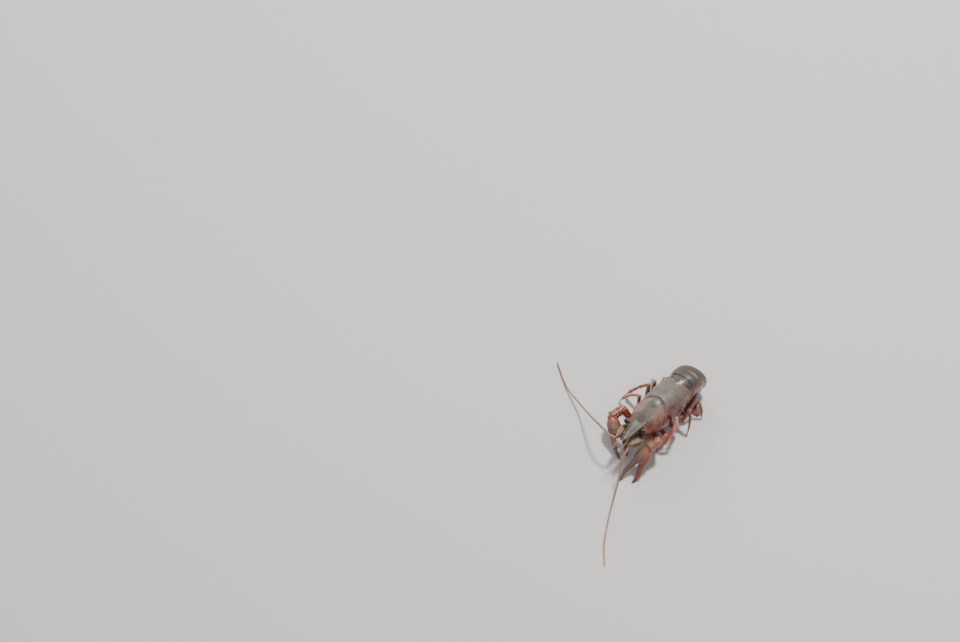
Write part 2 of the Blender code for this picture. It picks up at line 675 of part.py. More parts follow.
def make_claw_limb(letter):
    """A claw limb: base, upper arm, wrist piece, palm with its fixed finger, moving finger."""
    side = SIDES[letter]
    hip, base, elbow, wrist, palm_end, outer_tip, inner_tip = [Vector(p) for p in CLAW_LIMBS[letter]]
    along, outward, up = claw_frame(letter)
    points = [hip, base, elbow, wrist, palm_end]
    first, arm, hand, last = limb(points, CLAW_SIZES, up, CLAW_SIDES, LEFT * side)
    steps = [(b - a).normalized() for a, b in zip(points, points[1:])]
    add_node("claw_base_" + letter, "claw", skin(first), origin=hip)
    arm_rings = part_from(first, arm, steps[0])
    draw = random.Random(11)
    arm_forms = []
    for k in range(3):
        for corner in (1, 3):
            root, away = surface_spot(arm[-3], arm[-2], corner, 0.1 + 0.35 * k)
            arm_forms.append(spike(root, away, draw.uniform(0.5, 0.8), 0.5, 0.7))
    add_node("claw_arm_" + letter, "claw", skin(arm_rings), arm_forms, base)
    hand_rings = part_from(arm, hand, steps[1])
    hand_forms = []
    for k in range(5):
        root, away = surface_spot(hand[-3], hand[-2], k, 0.25 + 0.5 * (k % 2))
        hand_forms.append(spike(root, away, draw.uniform(0.7, 1.1), 0.55, 0.8))
    add_node("claw_wrist_" + letter, "claw", skin(hand_rings), hand_forms, elbow)

    room = corner_room(steps[2], along, CLAW_SIZES[2][1], CLAW_SIZES[3][0])
    start = wrist + steps[2] * (GAP - room)
    bend = (steps[2] + along).normalized()
    length = (palm_end - wrist).length
    rings = [ring(start, steps[2], up, 1.9, 1.9, CLAW_SIDES),
             ring(wrist, along, up, 1.8, 1.8, CLAW_SIDES, bend)]
    for part, half, tall in PALM:
        place = max(part * length, room if part < 0.2 else 0)
        rings.append(ring(wrist + along * place, along, up, half, tall, CLAW_SIDES))
    root = palm_end + outward * FINGER_APART
    fixed, fixed_path = finger(root, outer_tip, along, outward, up, 0.9)
    forms = palm_bumps(wrist, along, outward, up, length, 5)
    forms += teeth(fixed_path, outward, 3)
    add_node("claw_palm_" + letter, "claw", skin(rings + fixed), forms, wrist)
    root = palm_end + along * GAP - outward * FINGER_APART
    moving, moving_path = finger(root, inner_tip, along, outward, up, -1.1)
    forms = teeth(moving_path, -outward, 4)
    add_node("claw_finger_" + letter, "claw", skin(moving), forms, root)


# Head parts

def make_eye(letter):
    """A short stalk on the shell's front, and the black eye on its end."""
    side = SIDES[letter]
    place = mirrored(EYE_PLACE, side)
    base = mirrored(STALK_ROOT, side)
    step = (place - base).normalized()
    face = place - step * EYE_CUT
    stalk = [ring(base, step, UP, 0.85, 0.9, 10, BACK),
             ring(base.lerp(face, 0.5), step, UP, 0.95, 1.0, 10),
             ring(face - step * GAP, step, UP, 1.2, 1.2, 10)]
    add_node("eye_stalk_" + letter, "belly", skin(stalk), origin=base)
    rings = []
    for k in range(6):
        place_on_axis = -EYE_CUT + (EYE_RADIUS + EYE_CUT) * (k / 6) ** 0.85
        half = math.sqrt(EYE_RADIUS ** 2 - place_on_axis ** 2)
        rings.append(ring(place + step * place_on_axis, step, UP, half, half, 12))
    rings.append([place + step * EYE_RADIUS])
    add_node("eye_" + letter, "eye", skin(rings), origin=place)


def tapered(path, profile, up, sides, cut=None):
    """Rings along a smooth path; profile gives (part, half width, half height)."""
    rings = []
    for part, half, tall in profile:
        centre, along = along_path(path, part)
        rings.append(ring(centre, along, up, half, tall, sides, None if part else cut))
    return rings


def make_antennule(letter):
    """The short inner feeler: a stem with two thin branches."""
    side = SIDES[letter]
    start, fork, tip, low_tip = [mirrored(point, side) for point in ANTENNULE]
    outer = smooth_path([start, fork, tip])
    lower = smooth_path([fork + BACK * 1.2, fork - BACK * 1.0, low_tip])
    branch = tapered(lower, ANTENNULE_BRANCH, UP, 6)
    body = tapered(outer, ANTENNULE_STEM, UP, 8, BACK)
    add_node("antennule_" + letter, "feeler", skin(body), [skin(branch)], start)


def make_antenna(letter):
    """The long feeler: a jointed root, a leaf-shaped scale beside it, and the lash in lengths."""
    side = SIDES[letter]
    lash = smooth_path(FEELERS[letter])
    start, *joints = [mirrored(point, side) for point in FEELER_STEM]
    points = [start, *joints, lash[0]]
    sizes = ((1.5, 1.65, 0.95), (1.35, 1.3, 0.95), (1.1, 0.95, 1.0))
    first, second, third = limb(points, sizes, UP, 10, BACK)
    add_node("antenna_root_" + letter, "feeler", skin(first + second + third), origin=start)

    path = smooth_path([mirrored(point, side) for point in SCALE_WAY])
    scale = blade(path, UP, SCALE_OUTLINE, 0.8, 5, 0.25)
    add_node("antenna_scale_" + letter, "feeler", scale, origin=path[0])

    total = sum((b - a).length for a, b in zip(lash, lash[1:]))
    for n in range(FEELER_LENGTHS):
        rings = []
        for k in range(FEELER_ROWS + 1):
            part = (n + k / FEELER_ROWS) / FEELER_LENGTHS
            half = FEELER_ROOT + (FEELER_TIP - FEELER_ROOT) * part ** 0.7
            shift = {0: GAP / 2, FEELER_ROWS: -GAP / 2}.get(k, 0.0)
            if not n and not k:
                shift = GAP
            centre, along = along_path(lash, part)
            rings.append(ring(centre + along * shift, along, UP, half, half, FEELER_SIDES))
        add_node(f"antenna_{n + 1}_{letter}", "feeler", skin(rings), origin=rings[0][0])


def make_maxilliped(letter):
    """The mouth leg, folded forward under the face."""
    side = SIDES[letter]
    points = [mirrored(point, side) for point in MOUTH_LEG]
    sizes = ((1.3, 1.35, 1.0), (1.1, 0.9, 1.0), (0.75, 0.45, 1.0))
    lengths = limb(points, sizes, UP, 8, BACK)
    rings = [row for length in lengths for row in length]
    add_node("maxilliped_" + letter, "belly", skin(rings), origin=points[0])


# Tail

def tail_place(place):
    """The point on the back's line, its way along and its way in, at a place from 0 to 6."""
    turn = math.radians(curve_value(list(enumerate(TAIL_PLACES)), place))
    tilt = math.radians(curve_value(list(enumerate(TAIL_TILTS)), place))
    rise = TAIL_RISE if math.cos(turn) > 0 else TAIL_DROP
    point = Vector((0, TAIL_MIDDLE[0] + TAIL_REACH * math.sin(turn),
                    TAIL_MIDDLE[1] + rise * math.cos(turn)))
    along = Vector((0, math.cos(tilt), -math.sin(tilt)))
    inward = Vector((0, -math.sin(tilt), -math.cos(tilt)))
    return point, along, inward


def tail_ring(place, rise, lobe, shift):
    """One ring of the tail: a domed back, side lobes that hang down, and a flat belly."""
    point, along, inward = tail_place(place)
    half = curve_value(TAIL_HALF, place) + rise
    body = curve_value(TAIL_BODY, place)
    centre = point - inward * rise + along * shift
    dome = DOME_PART * body
    points = []
    for k in range(TAIL_ARCH + 1):
        turn = math.pi * (0.5 - k / TAIL_ARCH)
        drop = dome * (1 - math.cos(turn))
        points.append(centre + LEFT * half * math.sin(turn) + inward * drop)
    tip = half * 0.94
    under = ((-tip, lobe), (-tip + 1.0, lobe), (-tip + 1.7, body), (tip - 1.7, body),
             (tip - 1.0, lobe), (tip, lobe))
    return points + [centre + LEFT * x + inward * (depth + rise) for x, depth in under]


def make_tail_ring(number):
    """One of the tail's six rings, its front edge sunk where the ring before covers it."""
    rings = []
    for part, rise in TAIL_ROWS:
        place = number - 1 + part
        body = curve_value(TAIL_BODY, place)
        lobe = body + 0.2 + (TAIL_LOBE[number - 1] - body) * math.sin(math.pi * part) ** 0.6
        if number == 1:
            rise = 0.0
        shift = {0.0: GAP / 2, 1.0: -GAP / 2}.get(part, 0.0)
        if number == 1 and not part:
            shift = GAP
        rings.append(tail_ring(place, rise, lobe, shift))
    add_node(f"abdomen_{number}", "tail", skin(rings), origin=tail_place(number - 1)[0])


def fan_blade(name, root, way, outline, thickness):
    """One blade of the tail fan, from the last ring's end along the floor."""
    point, along, inward = tail_place(6)
    start = point + along * (GAP * 0.6) + LEFT * root[0] + inward * root[1]
    path = smooth_path([start, start + along * 1.2, *[Vector(p) for p in way]], 8)
    points, faces = blade(path, UP, outline, thickness, 7, 0.25)
    add_node(name, "fan", (stand_clear(points), faces), origin=start)


def make_fan():
    """The tail fan: the middle blade and two blades on each side."""
    fan_blade("telson", (0, 1.0), TELSON_WAY, TELSON, 1.0)
    for letter, side in SIDES.items():
        inner = [mirrored(point, side) for point in INNER_WAY]
        outer = [mirrored(point, side) for point in OUTER_WAY]
        fan_blade("uropod_inner_" + letter, (3.6 * side, 4.1), inner, LEAF, 0.8)
        fan_blade("uropod_outer_" + letter, (5.2 * side, 1.3), outer, LEAF, 0.8)


def clear_scene():
    for thing in list(bpy.data.objects):
        bpy.data.objects.remove(thing)


def centre_on_floor():
    """Hang every node from one empty, so that the middle of the model's box is over the origin."""
    bpy.context.view_layer.update()
    nodes = [thing for thing in bpy.context.scene.objects if thing.type == "MESH"]
    corners = [node.matrix_world @ Vector(corner) for node in nodes for corner in node.bound_box]
    low = [min(corner[axis] for corner in corners) for axis in range(3)]
    high = [max(corner[axis] for corner in corners) for axis in range(3)]
    carrier = bpy.data.objects.new("crayfish", None)
    bpy.context.scene.collection.objects.link(carrier)
    carrier.location = (-(low[0] + high[0]) / 2, -(low[1] + high[1]) / 2, -low[2])
    for node in nodes:
        node.parent = carrier


def main():
    clear_scene()
    make_carapace()
    make_sternum()
    make_epistome()
    for letter in SIDES:
        make_eye(letter)
        make_antennule(letter)
        make_antenna(letter)
        make_maxilliped(letter)
        make_claw_limb(letter)
    for name in LEGS:
        make_leg(name)
    for number in range(1, 7):
        make_tail_ring(number)
    make_fan()
    centre_on_floor()


main()
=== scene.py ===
import math
import random

import bmesh
import bpy
import numpy as np
from bpy.props import FloatProperty, FloatVectorProperty, IntProperty, PointerProperty
from mathutils import Matrix, Vector, noise
from mathutils.kdtree import KDTree


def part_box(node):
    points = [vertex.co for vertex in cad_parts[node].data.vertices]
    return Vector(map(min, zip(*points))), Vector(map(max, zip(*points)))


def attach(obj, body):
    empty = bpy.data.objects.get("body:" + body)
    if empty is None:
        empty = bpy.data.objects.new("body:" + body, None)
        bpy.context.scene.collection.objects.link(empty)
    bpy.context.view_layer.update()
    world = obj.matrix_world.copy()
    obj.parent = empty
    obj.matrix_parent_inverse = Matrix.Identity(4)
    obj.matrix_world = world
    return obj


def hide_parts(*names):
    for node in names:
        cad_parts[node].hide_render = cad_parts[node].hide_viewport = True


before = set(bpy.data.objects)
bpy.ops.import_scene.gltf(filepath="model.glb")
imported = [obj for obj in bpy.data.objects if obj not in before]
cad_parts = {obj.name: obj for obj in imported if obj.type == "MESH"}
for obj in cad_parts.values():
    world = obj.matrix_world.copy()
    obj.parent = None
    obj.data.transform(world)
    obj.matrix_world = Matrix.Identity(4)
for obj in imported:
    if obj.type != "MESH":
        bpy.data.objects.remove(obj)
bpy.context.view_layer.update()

bl_info = {
    "name": "Life-size crayfish",
    "version": (1, 0, 0),
    "blender": (4, 5, 0),
    "location": "3D View > Sidebar > Crayfish",
    "description": "Dresses the solids of a crayfish with fine shell, limbs, bristles and wet finishes",
    "category": "Object",
}

# Forms are worked out in millimetres from the hind edge of the carapace: left +X, back +Y, up +Z
MM = 0.001
GAP = 0.3
SIDES = {"L": 1, "R": -1}
LEFT = Vector((1, 0, 0))
BACK = Vector((0, 1, 0))
UP = Vector((0, 0, 1))
CARAPACE_LENGTH = 50.0
SHELL_LOW, SHELL_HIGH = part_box("carapace")
ORIGIN = Vector(((SHELL_LOW.x + SHELL_HIGH.x) / 2 / MM, SHELL_LOW.y / MM + CARAPACE_LENGTH, 0))

# Carapace: keys are (place along Y, size), angles are degrees from the middle of the back
GROOVE_ROW = -0.33 * CARAPACE_LENGTH
FRONT_ROW = -0.71 * CARAPACE_LENGTH
SHELL_WIDTH = ((-35.5, 6.4), (-32, 7.6), (-28, 8.8), (-22, 9.9), (-16, 10.4), (-10, 10.5),
               (-4, 10.0), (0, 9.5), (3, 9.3))
SHELL_TOP = ((-35.5, 23.2), (-30, 24.6), (-24, 25.6), (-16, 26.0), (-8, 25.4), (-3, 24.4),
             (0, 23.7), (3, 23.5))
SHELL_MARGIN = ((-35.5, 11.5), (-30, 10.0), (-25, 8.8), (-20, 7.6), (-6, 7.6), (0, 8.8), (3, 10.0))
SHELL_TURN = 130
SHELL_WAIST = 0.42
SHELL_COLUMNS = 104
SHELL_STEP = 0.42
SHELL_LIP = 0.8
GROOVE_SWEEP = 13.5
REAR_FLARE = 2.0
REAR_TUCK = 2.5
TROUGH_HALF = 6.6
TROUGH_ROOF = 9.9
RECESS_DEPTH = 4.5
RECESS_FLOOR = 10.9
RIM_WALL = 0.9
FACE_DEPTH = 1.8

# Rostrum: (place, half width, top, thickness)
ROSTRUM = ((-28.5, 2.7, 23.5, 4.0), (-32.5, 3.5, 23.35, 4.0), (-35.5, 3.95, 23.3, 3.4),
           (-39.0, 3.4, 22.9, 2.6), (-43.0, 2.75, 22.2, 1.9), (-45.6, 2.15, 21.8, 1.5),
           (-47.2, 1.35, 21.6, 1.15), (-48.8, 0.8, 21.5, 0.8), (-50.0, 0.3, 21.6, 0.5))
ROSTRUM_SPINE = ((2.0, -45.2, 22.0), (0.32, -1.0, 0.3))
ROSTRUM_RIM = 0.6
ROSTRUM_STEPS = 60

# Ridge behind an eye: (row, angle, half width, height)
RIDGE = ((-26.5, 27.0, 0.35, 0.1), (-28.2, 29.0, 0.6, 0.4), (-30.4, 32.0, 0.7, 0.55),
         (-32.4, 35.5, 0.65, 0.6), (-33.8, 38.5, 0.5, 0.6))
RIDGE_TIP = (0.15, -1.6, 0.9)

# Spines of the shell: (row, angle, way it points, length)
SHELL_SPINES = ((-14.6, 78, (1.0, -0.9, 0.3), 1.5), (-32.4, 72, (0.4, -1.0, 0.0), 1.6))
GROOVE_KNOBS = 9
CHEEK_KNOBS = 14

# Marks in the shell's finish: a dark fleck on the head, and a place beside the groove with no film
FLECK_PLACE = (0.8, -22.6, 26.1)
WASHED_PLACE = (2.5, -17.7, 25.7)

# Body under the shell
STERNUM_HALF = 5.6
STERNUM_FLOOR = 4.2
STERNUM_TOP = TROUGH_ROOF - GAP
STERNUM_SEAMS = (-23.5, -18.2, -13.5, -8.9)
SEAM_DEPTH = 0.7
HIP = STERNUM_HALF + GAP
HIP_HEIGHT = 5.6

# Tail: the back's line is an oval, and each ring looks down it at its own angle
TAIL_MIDDLE = (2.0, 10.0)
TAIL_REACH = 19.4
TAIL_RISE = 12.2
TAIL_DROP = 10.0
TAIL_PLACES = (-18.6, 10, 31, 54, 82, 119, 150)
TAIL_TILTS = (0, 16, 40, 66, 96, 128, 172)
TAIL_HALF = ((0, 7.4), (0.7, 7.6), (1, 8.3), (2, 9.1), (3, 9.0), (4, 8.6), (5, 7.8), (6, 6.6))
TAIL_BODY = ((0, 10.0), (1, 9.2), (2, 8.2), (3, 7.8), (4, 7.3), (5, 6.6), (6, 5.6))
TAIL_LOBE = (9.8, 12.0, 10.8, 10.0, 9.2, 7.2)
TAIL_ROWS = ((0.0, -0.7), (0.1, -0.68), (0.17, -0.5), (0.24, -0.12), (0.33, 0.08), (0.4, 0.1),
             (0.45, -0.06), (0.5, 0.1), (0.6, 0.18), (0.84, 0.2), (0.9, 0.1), (0.95, 0.27),
             (1.0, 0.2), (1.03, -0.05))
TAIL_ARCH = 56
TAIL_STEPS = 30
DOME_PART = 0.66

# Walking legs: hip place, end of the short base, knee, bow of the lower leg, foot
LEGS = {
    "leg_2_L": (-20.6, (10.4, -22.6, 6.3), (11.6, -24.3, 8.9), (0.3, -0.8, 0.3), (8.4, -35.5, 0)),
    "leg_3_L": (-15.9, (12.4, -14.6, 6.4), (13.6, -17.5, 20.2), (2.4, 0.0, 0.6), (10.9, -31.2, 0)),
    "leg_4_L": (-11.2, (12.2, -9.2, 6.4), (13.9, -5.5, 15.2), (0.8, 0.6, 1.0), (17.6, -12.0, 0)),
    "leg_5_L": (-6.6, (10.8, -3.8, 6.3), (11.4, 4.6, 12.0), (0.8, 0.8, 1.0), (17.0, 2.6, 0)),
    "leg_2_R": (-20.6, (-11.8, -19.4, 6.4), (-13.3, -16.8, 17.2), (-1.5, 0.0, 1.2), (-26.0, -18.4, 0)),
    "leg_3_R": (-15.9, (-12.0, -12.8, 6.4), (-13.4, -8.0, 18.2), (-0.8, 0.0, 0.6), (-26.7, -13.6, 0)),
    "leg_4_R": (-11.2, (-11.9, -8.2, 6.4), (-13.2, -2.4, 15.0), (-1.2, 0.3, 0.8), (-19.2, 3.2, 0)),
    "leg_5_R": (-6.6, (-10.8, -4.0, 6.3), (-11.6, 3.6, 11.6), (-0.8, 0.6, 0.8), (-14.6, 10.4, 0)),
}
LEG_SIZE = {"2": 1.05, "3": 1.12, "4": 1.08, "5": 0.95}
# Half width at the start and end of each plate, and its flatness: with a pincer, and with a plain toe
LEG_PINCER = ((1.25, 1.2, 1.0), (1.05, 1.2, 0.86), (0.78, 1.0, 0.92), (0.74, 0.95, 1.1),
              (0.42, 0.14, 1.0))
LEG_PLAIN = ((1.25, 1.2, 1.0), (1.05, 1.2, 0.86), (0.78, 0.98, 0.92), (0.76, 0.6, 0.92),
             (0.48, 0.14, 1.0))
# Fixed finger of a leg's pincer: (part of length, half width)
PINCER = ((0.0, 0.5), (0.2, 0.5), (0.6, 0.36), (0.9, 0.22), (1.0, 0.13))
LIMB_SIDES = 24

# Plate of a limb: (part of length, swelling), and the share of the room at a bend that is left open
PLATE = ((0.0, 0.7), (0.05, 0.88), (0.16, 1.01), (0.5, 0.97), (0.8, 1.0), (0.92, 1.06), (0.97, 0.99),
         (1.0, 0.76))
JOINT_ROOM = 0.05
NECK_START = 0.84
NECK_END = 0.9

# Claw limbs: hip, end of the base, elbow, wrist, end of the palm, tips of the two fingers
CLAW_LIMBS = {
    "L": ((HIP + 0.1, -26.5, 6.4), (8.1, -27.3, 7.0), (13.2, -33.4, 14.2), (11.0, -39.1, 12.5),
          (10.8, -46.8, 6.8), (13.7, -56.2, 0), (7.6, -59.5, 0)),
    "R": ((-HIP - 0.1, -26.5, 6.4), (-8.6, -27.2, 7.1), (-16.6, -27.9, 13.0), (-18.2, -36.0, 12.2),
          (-11.0, -40.0, 7.3), (-1.8, -48.2, 0), (0.0, -44.0, 0)),
}
# Base, arm, wrist and palm: half width at the start, at the end, flatness
CLAW_SIZES = ((1.8, 1.7, 0.95), (1.5, 2.6, 0.95), (2.4, 3.1, 0.95), (2.2, 2.0, 1.0))
# Palm and finger: (part of length, half width, half height)
PALM = ((0.10, 2.5, 2.3), (0.2, 3.1, 2.6), (0.35, 3.7, 2.8), (0.7, 4.2, 3.0), (1.0, 4.1, 2.7))
FINGER = ((0.0, 1.85, 2.0), (0.3, 1.55, 1.6), (0.62, 1.2, 1.25), (0.88, 0.8, 0.9), (1.0, 0.35, 0.5))
FINGER_APART = 2.15
OUTER_BOW = 0.9
INNER_BOW = -1.1
TEETH = 15
FINGER_TURNS = (35, 75, 115)
PALM_TURNS = (-182, -168, -154, -138, -120, -104, -88, -70, -52, -34)
# Spines of the arm and the wrist piece: places round it, places along it, length
ARM_SPINES = ((0.1, 0.3, 0.42), (0.35, 0.55, 0.75, 0.92), 0.8)
WRIST_SPINES = ((0.08, 0.2, 0.32, 0.44), (0.4, 0.6, 0.82), 0.95)

# Feelers: the way of each lash
FEELERS = {
    "L": ((4.35, -46.6, 17.9), (4.3, -48.3, 18.1), (5.8, -56.0, 15.6), (9.8, -64.0, 8.0),
          (14.0, -74.0, 2.6), (20.0, -86.0, 1.0), (27.0, -98.0, 0.8), (36.0, -109.0, 0.7)),
    "R": ((-4.6, -46.6, 18.0), (-4.9, -48.0, 18.3), (-8.0, -49.6, 19.0), (-13.0, -48.9, 19.2),
          (-19.0, -46.9, 17.4), (-27.0, -43.0, 12.4), (-40.0, -36.5, 5.4), (-55.0, -30.0, 1.3),
          (-70.0, -20.0, 0.7)),
}
FEELER_ROOT = 0.75
FEELER_TIP = 0.3
FEELER_LENGTHS = 3

EYE_RADIUS = 1.7
EYE_ROWS = 26
EYE_SIDES = 40
EYE_PLACE = (5.8, -37.8, 22.2)
STALK_ROOT = (4.2, FRONT_ROW + 1.2, 18.9)

# Other head parts: profiles are (part of length, half width, half height)
ANTENNULE = ((1.35, -41.5, 16.9), (1.7, -46.6, 18.7), (0.9, -58.0, 20.0), (2.8, -55.5, 16.6))
ANTENNULE_STEM = ((0.0, 0.95, 0.95), (0.14, 1.0, 1.0), (0.28, 0.75, 0.8), (0.36, 0.45, 0.5))
FEELER_STEM = ((4.5, FRONT_ROW + 1.0, 15.0), (5.2, -40.0, 15.8), (4.7, -44.0, 17.5))
FEELER_SIZES = ((1.5, 1.65, 0.95), (1.35, 1.3, 0.95), (1.1, 0.9, 1.0))
SCALE_WAY = ((5.2, FRONT_ROW - GAP, 17.4), (5.2, FRONT_ROW - GAP - 1.2, 17.4), (6.2, -40.5, 18.8),
             (4.5, -48.2, 20.4))
SCALE_OUTLINE = ((0.0, 0.75), (0.12, 1.0), (0.3, 1.4), (0.55, 1.5), (0.75, 1.3), (0.9, 0.8), (1.0, 0.3))
MOUTH_LEG = ((1.75, -33.3, 6.9), (2.5, -38.2, 7.4), (2.1, -41.6, 9.0), (1.6, -42.6, 11.4))
MOUTH_SIZES = ((1.45, 1.45, 0.8), (1.1, 0.95, 0.85), (0.75, 0.28, 0.85))

# Face: (place, half width, half height, height of its middle)
FACE = ((FRONT_ROW + 1.0, 2.8, 3.4, 15.2), (-38.0, 2.9, 3.2, 15.3), (-40.0, 2.8, 2.9, 15.5),
        (-41.2, 2.5, 2.6, 15.6), (-41.9, 1.4, 1.6, 15.7))

# Jaw and its small feeler: ways, and profiles as above
JAW = ((3.2, -34.6, 11.2), (2.2, -36.0, 10.9), (0.7, -36.9, 10.5))
JAW_PROFILE = ((0.0, 0.9, 1.1), (0.4, 1.25, 1.35), (0.8, 1.0, 1.1), (1.0, 0.5, 0.7))
JAW_FEELER = ((2.4, -36.2, 11.9), (1.9, -37.9, 12.3), (0.6, -38.3, 11.7))
JAW_FEELER_PROFILE = ((0.0, 0.5, 0.45), (0.5, 0.55, 0.45), (1.0, 0.25, 0.2))

# Tail fan: blades are (part of length, half width), ways are points after the root
TELSON = ((0.0, 3.0), (0.1, 3.4), (0.3, 3.6), (0.55, 3.4), (0.62, 3.7), (0.68, 3.1), (0.85, 2.8),
          (0.95, 2.2), (1.0, 1.2))
TELSON_WAY = ((0, 8.0, 0.5), (0, 4.0, 0.42), (0, -0.6, 0.42))
LEAF = ((0.0, 1.2), (0.12, 1.3), (0.25, 1.9), (0.45, 2.7), (0.65, 3.0), (0.82, 2.8), (0.94, 2.0),
        (1.0, 0.9))
INNER_WAY = ((4.4, 8.6, 3.7), (6.2, 5.0, 2.4), (8.4, 0.2, 1.9))
OUTER_WAY = ((7.4, 9.6, 1.0), (9.8, 7.2, 0.36), (14.0, 3.0, 0.36))
TELSON_THICKNESS = 1.0
LEAF_THICKNESS = 0.8
BLADE_RIB = 0.25

# Swimmeret: profiles of its stem and of each leaf
SWIMMERET_STEM = ((0.0, 0.7, 0.6), (0.5, 0.62, 0.5), (1.0, 0.5, 0.4))
SWIMMERET_LEAF = ((0.0, 0.3, 0.25), (0.3, 0.6, 0.22), (0.7, 0.55, 0.2), (1.0, 0.15, 0.1))

# Bristles: on each fan blade, tail lobe edge, walking leg, mouth leg, feeler scale and claw finger
BLADE_BRISTLES = 240
LOBE_BRISTLES = 46
LEG_BRISTLES = 90
MOUTH_BRISTLES = 120
SCALE_BRISTLES = 90
FINGER_BRISTLES = 80
# Places of a bristle's seven points on its patch of the bake map: root, middle and tip
BRISTLE_PATCH = ((0.0, 0.0), (0.003, 0.0), (0.0015, 0.003), (0.0008, 0.0005), (0.0022, 0.0005),
                 (0.0015, 0.002), (0.0015, 0.001))

# Fineness of the fused skins, and how far apart the rings of a form stand before fusing
SHELL_VOXEL = 0.206
TAIL_VOXEL = 0.2
CLAW_VOXEL = 0.15
LEG_VOXEL = 0.14
STERNUM_VOXEL = 0.27
LIMB_SPACING = 0.35
PALM_SPACING = 0.4
FORM_SPACING = 0.3
STALK_SPACING = 0.25
# A loose scrap of fewer points than this is a crumb
CRUMB = 100
# A place far off, for a mask with nothing to mark
NOWHERE = Vector((0, 0, -99))

# Camera: the photograph's view, with the point over the carapace's hind edge at its pixel
PICTURE = (960, 642)
SENSOR = 36.0
LENS = 120.0
CAMERA_DISTANCE = 1800.0
CAMERA_AZIMUTH = math.radians(40)
CAMERA_ELEVATION = math.radians(54)
AIM_POINT = Vector((0, 0, 25))
AIM_PIXEL = (677, 381)

# Soft lights: name, place in metres, width, power
LIGHTS = (("key", (-0.1, 0.72, 1.5), 0.22, 31), ("fill", (1.4, -0.9, 1.1), 1.2, 4),
          ("back", (-1.2, 0.6, 0.7), 0.8, 7))
SKY_COLOUR = (0.93, 0.95, 1.0, 1)
SKY_STRENGTH = 0.42
FLOOR_REACH = 4.0
FLOOR_DROP = 0.00002


class CrayfishSizes(bpy.types.PropertyGroup):
    """Sizes of the fine forms on the shell and limbs."""

    granule: FloatProperty(
        name="Granule", description="Height of the small bumps on the shell's flanks",
        default=0.00007, min=0.0, unit="LENGTH")
    lash_ring: FloatProperty(
        name="Lash ring", description="Length of one ring of a feeler's lash",
        default=0.0006, min=0.0002, unit="LENGTH")
    bristle: FloatProperty(
        name="Bristle", description="Length of the bristles that fringe the tail fan",
        default=0.0012, min=0.0002, unit="LENGTH")
    bristle_width: FloatProperty(
        name="Bristle width", description="Thickness of a bristle at its root",
        default=0.0001, min=0.00002, unit="LENGTH")
    knobs: IntProperty(
        name="Palm knobs", description="Number of knobs along each row of a claw's palm",
        default=7, min=2)


class CrayfishColours(bpy.types.PropertyGroup):
    """Colours of the shell, the limbs and the mud film on them."""

    shell: FloatVectorProperty(
        name="Shell", description="Dark shell under the film", subtype="COLOR", size=3,
        min=0, max=1, default=(0.085, 0.05, 0.038))
    film: FloatVectorProperty(
        name="Mud film", description="Thin wet mud on the back", subtype="COLOR", size=3,
        min=0, max=1, default=(0.158, 0.127, 0.104))
    green: FloatVectorProperty(
        name="Green film", description="Greenish part of the film", subtype="COLOR", size=3,
        min=0, max=1, default=(0.062, 0.060, 0.038))
    pink: FloatVectorProperty(
        name="Pink shell", description="Pinkish tan of the head's band, the palms and the belly",
        subtype="COLOR", size=3, min=0, max=1, default=(0.30, 0.165, 0.115))
    red: FloatVectorProperty(
        name="Red", description="Deep red of claws, flanks, cheeks and fan", subtype="COLOR", size=3,
        min=0, max=1, default=(0.17, 0.018, 0.013))
    orange: FloatVectorProperty(
        name="Orange", description="Orange red of the claw arms and the shell's front edge",
        subtype="COLOR", size=3, min=0, max=1, default=(0.45, 0.115, 0.028))
    salmon: FloatVectorProperty(
        name="Salmon", description="Walking legs and the fan's edges", subtype="COLOR", size=3,
        min=0, max=1, default=(0.58, 0.145, 0.10))
    pale: FloatVectorProperty(
        name="Pale", description="Joint skin and the light parts of legs", subtype="COLOR",
        size=3, min=0, max=1, default=(0.46, 0.27, 0.18))
    tan: FloatVectorProperty(
        name="Tan", description="Feelers and their scales", subtype="COLOR", size=3,
        min=0, max=1, default=(0.33, 0.22, 0.13))
    bristle: FloatVectorProperty(
        name="Bristle", description="Bristles of fan, tail, limbs and mouth", subtype="COLOR", size=3,
        min=0, max=1, default=(0.24, 0.145, 0.08))
    floor: FloatVectorProperty(
        name="Floor", description="Studio floor", subtype="COLOR", size=3,
        min=0, max=1, default=(0.66, 0.64, 0.61))


# Curves and rings

def curve_value(keys, place):
    """Read a smooth curve through (place, value) keys, which stand in rising order."""
    if place <= keys[0][0]:
        return keys[0][1]
    if place >= keys[-1][0]:
        return keys[-1][1]
    index = max(k for k in range(len(keys) - 1) if keys[k][0] <= place)
    (start, low), (end, high) = keys[index], keys[index + 1]
    before = keys[max(index - 1, 0)]
    after = keys[min(index + 2, len(keys) - 1)]
    span = end - start
    leave = (high - before[1]) / (end - before[0]) * span
    arrive = (after[1] - low) / (after[0] - start) * span
    s = (place - start) / span
    return ((2 * s ** 3 - 3 * s ** 2 + 1) * low + (s ** 3 - 2 * s ** 2 + s) * leave
            + (3 * s ** 2 - 2 * s ** 3) * high + (s ** 3 - s ** 2) * arrive)


def smooth_path(points, steps=10):
    """Points along a smooth curve through the given ones."""
    points = [Vector(p) for p in points]
    keys = [[(k, point[axis]) for k, point in enumerate(points)] for axis in range(3)]
    count = (len(points) - 1) * steps
    places = [k / steps for k in range(count + 1)]
    return [Vector([curve_value(keys[axis], place) for axis in range(3)]) for place in places]


def path_length(path):
    return sum((b - a).length for a, b in zip(path, path[1:]))


def along_path(path, part):
    """The point and direction at a part, 0 to 1, of a path's length."""
    lengths = [(b - a).length for a, b in zip(path, path[1:])]
    left = part * sum(lengths)
    for k, length in enumerate(lengths):
        if left <= length or k == len(lengths) - 1:
            step = path[k + 1] - path[k]
            return path[k] + step * (left / length), step.normalized()
        left -= length


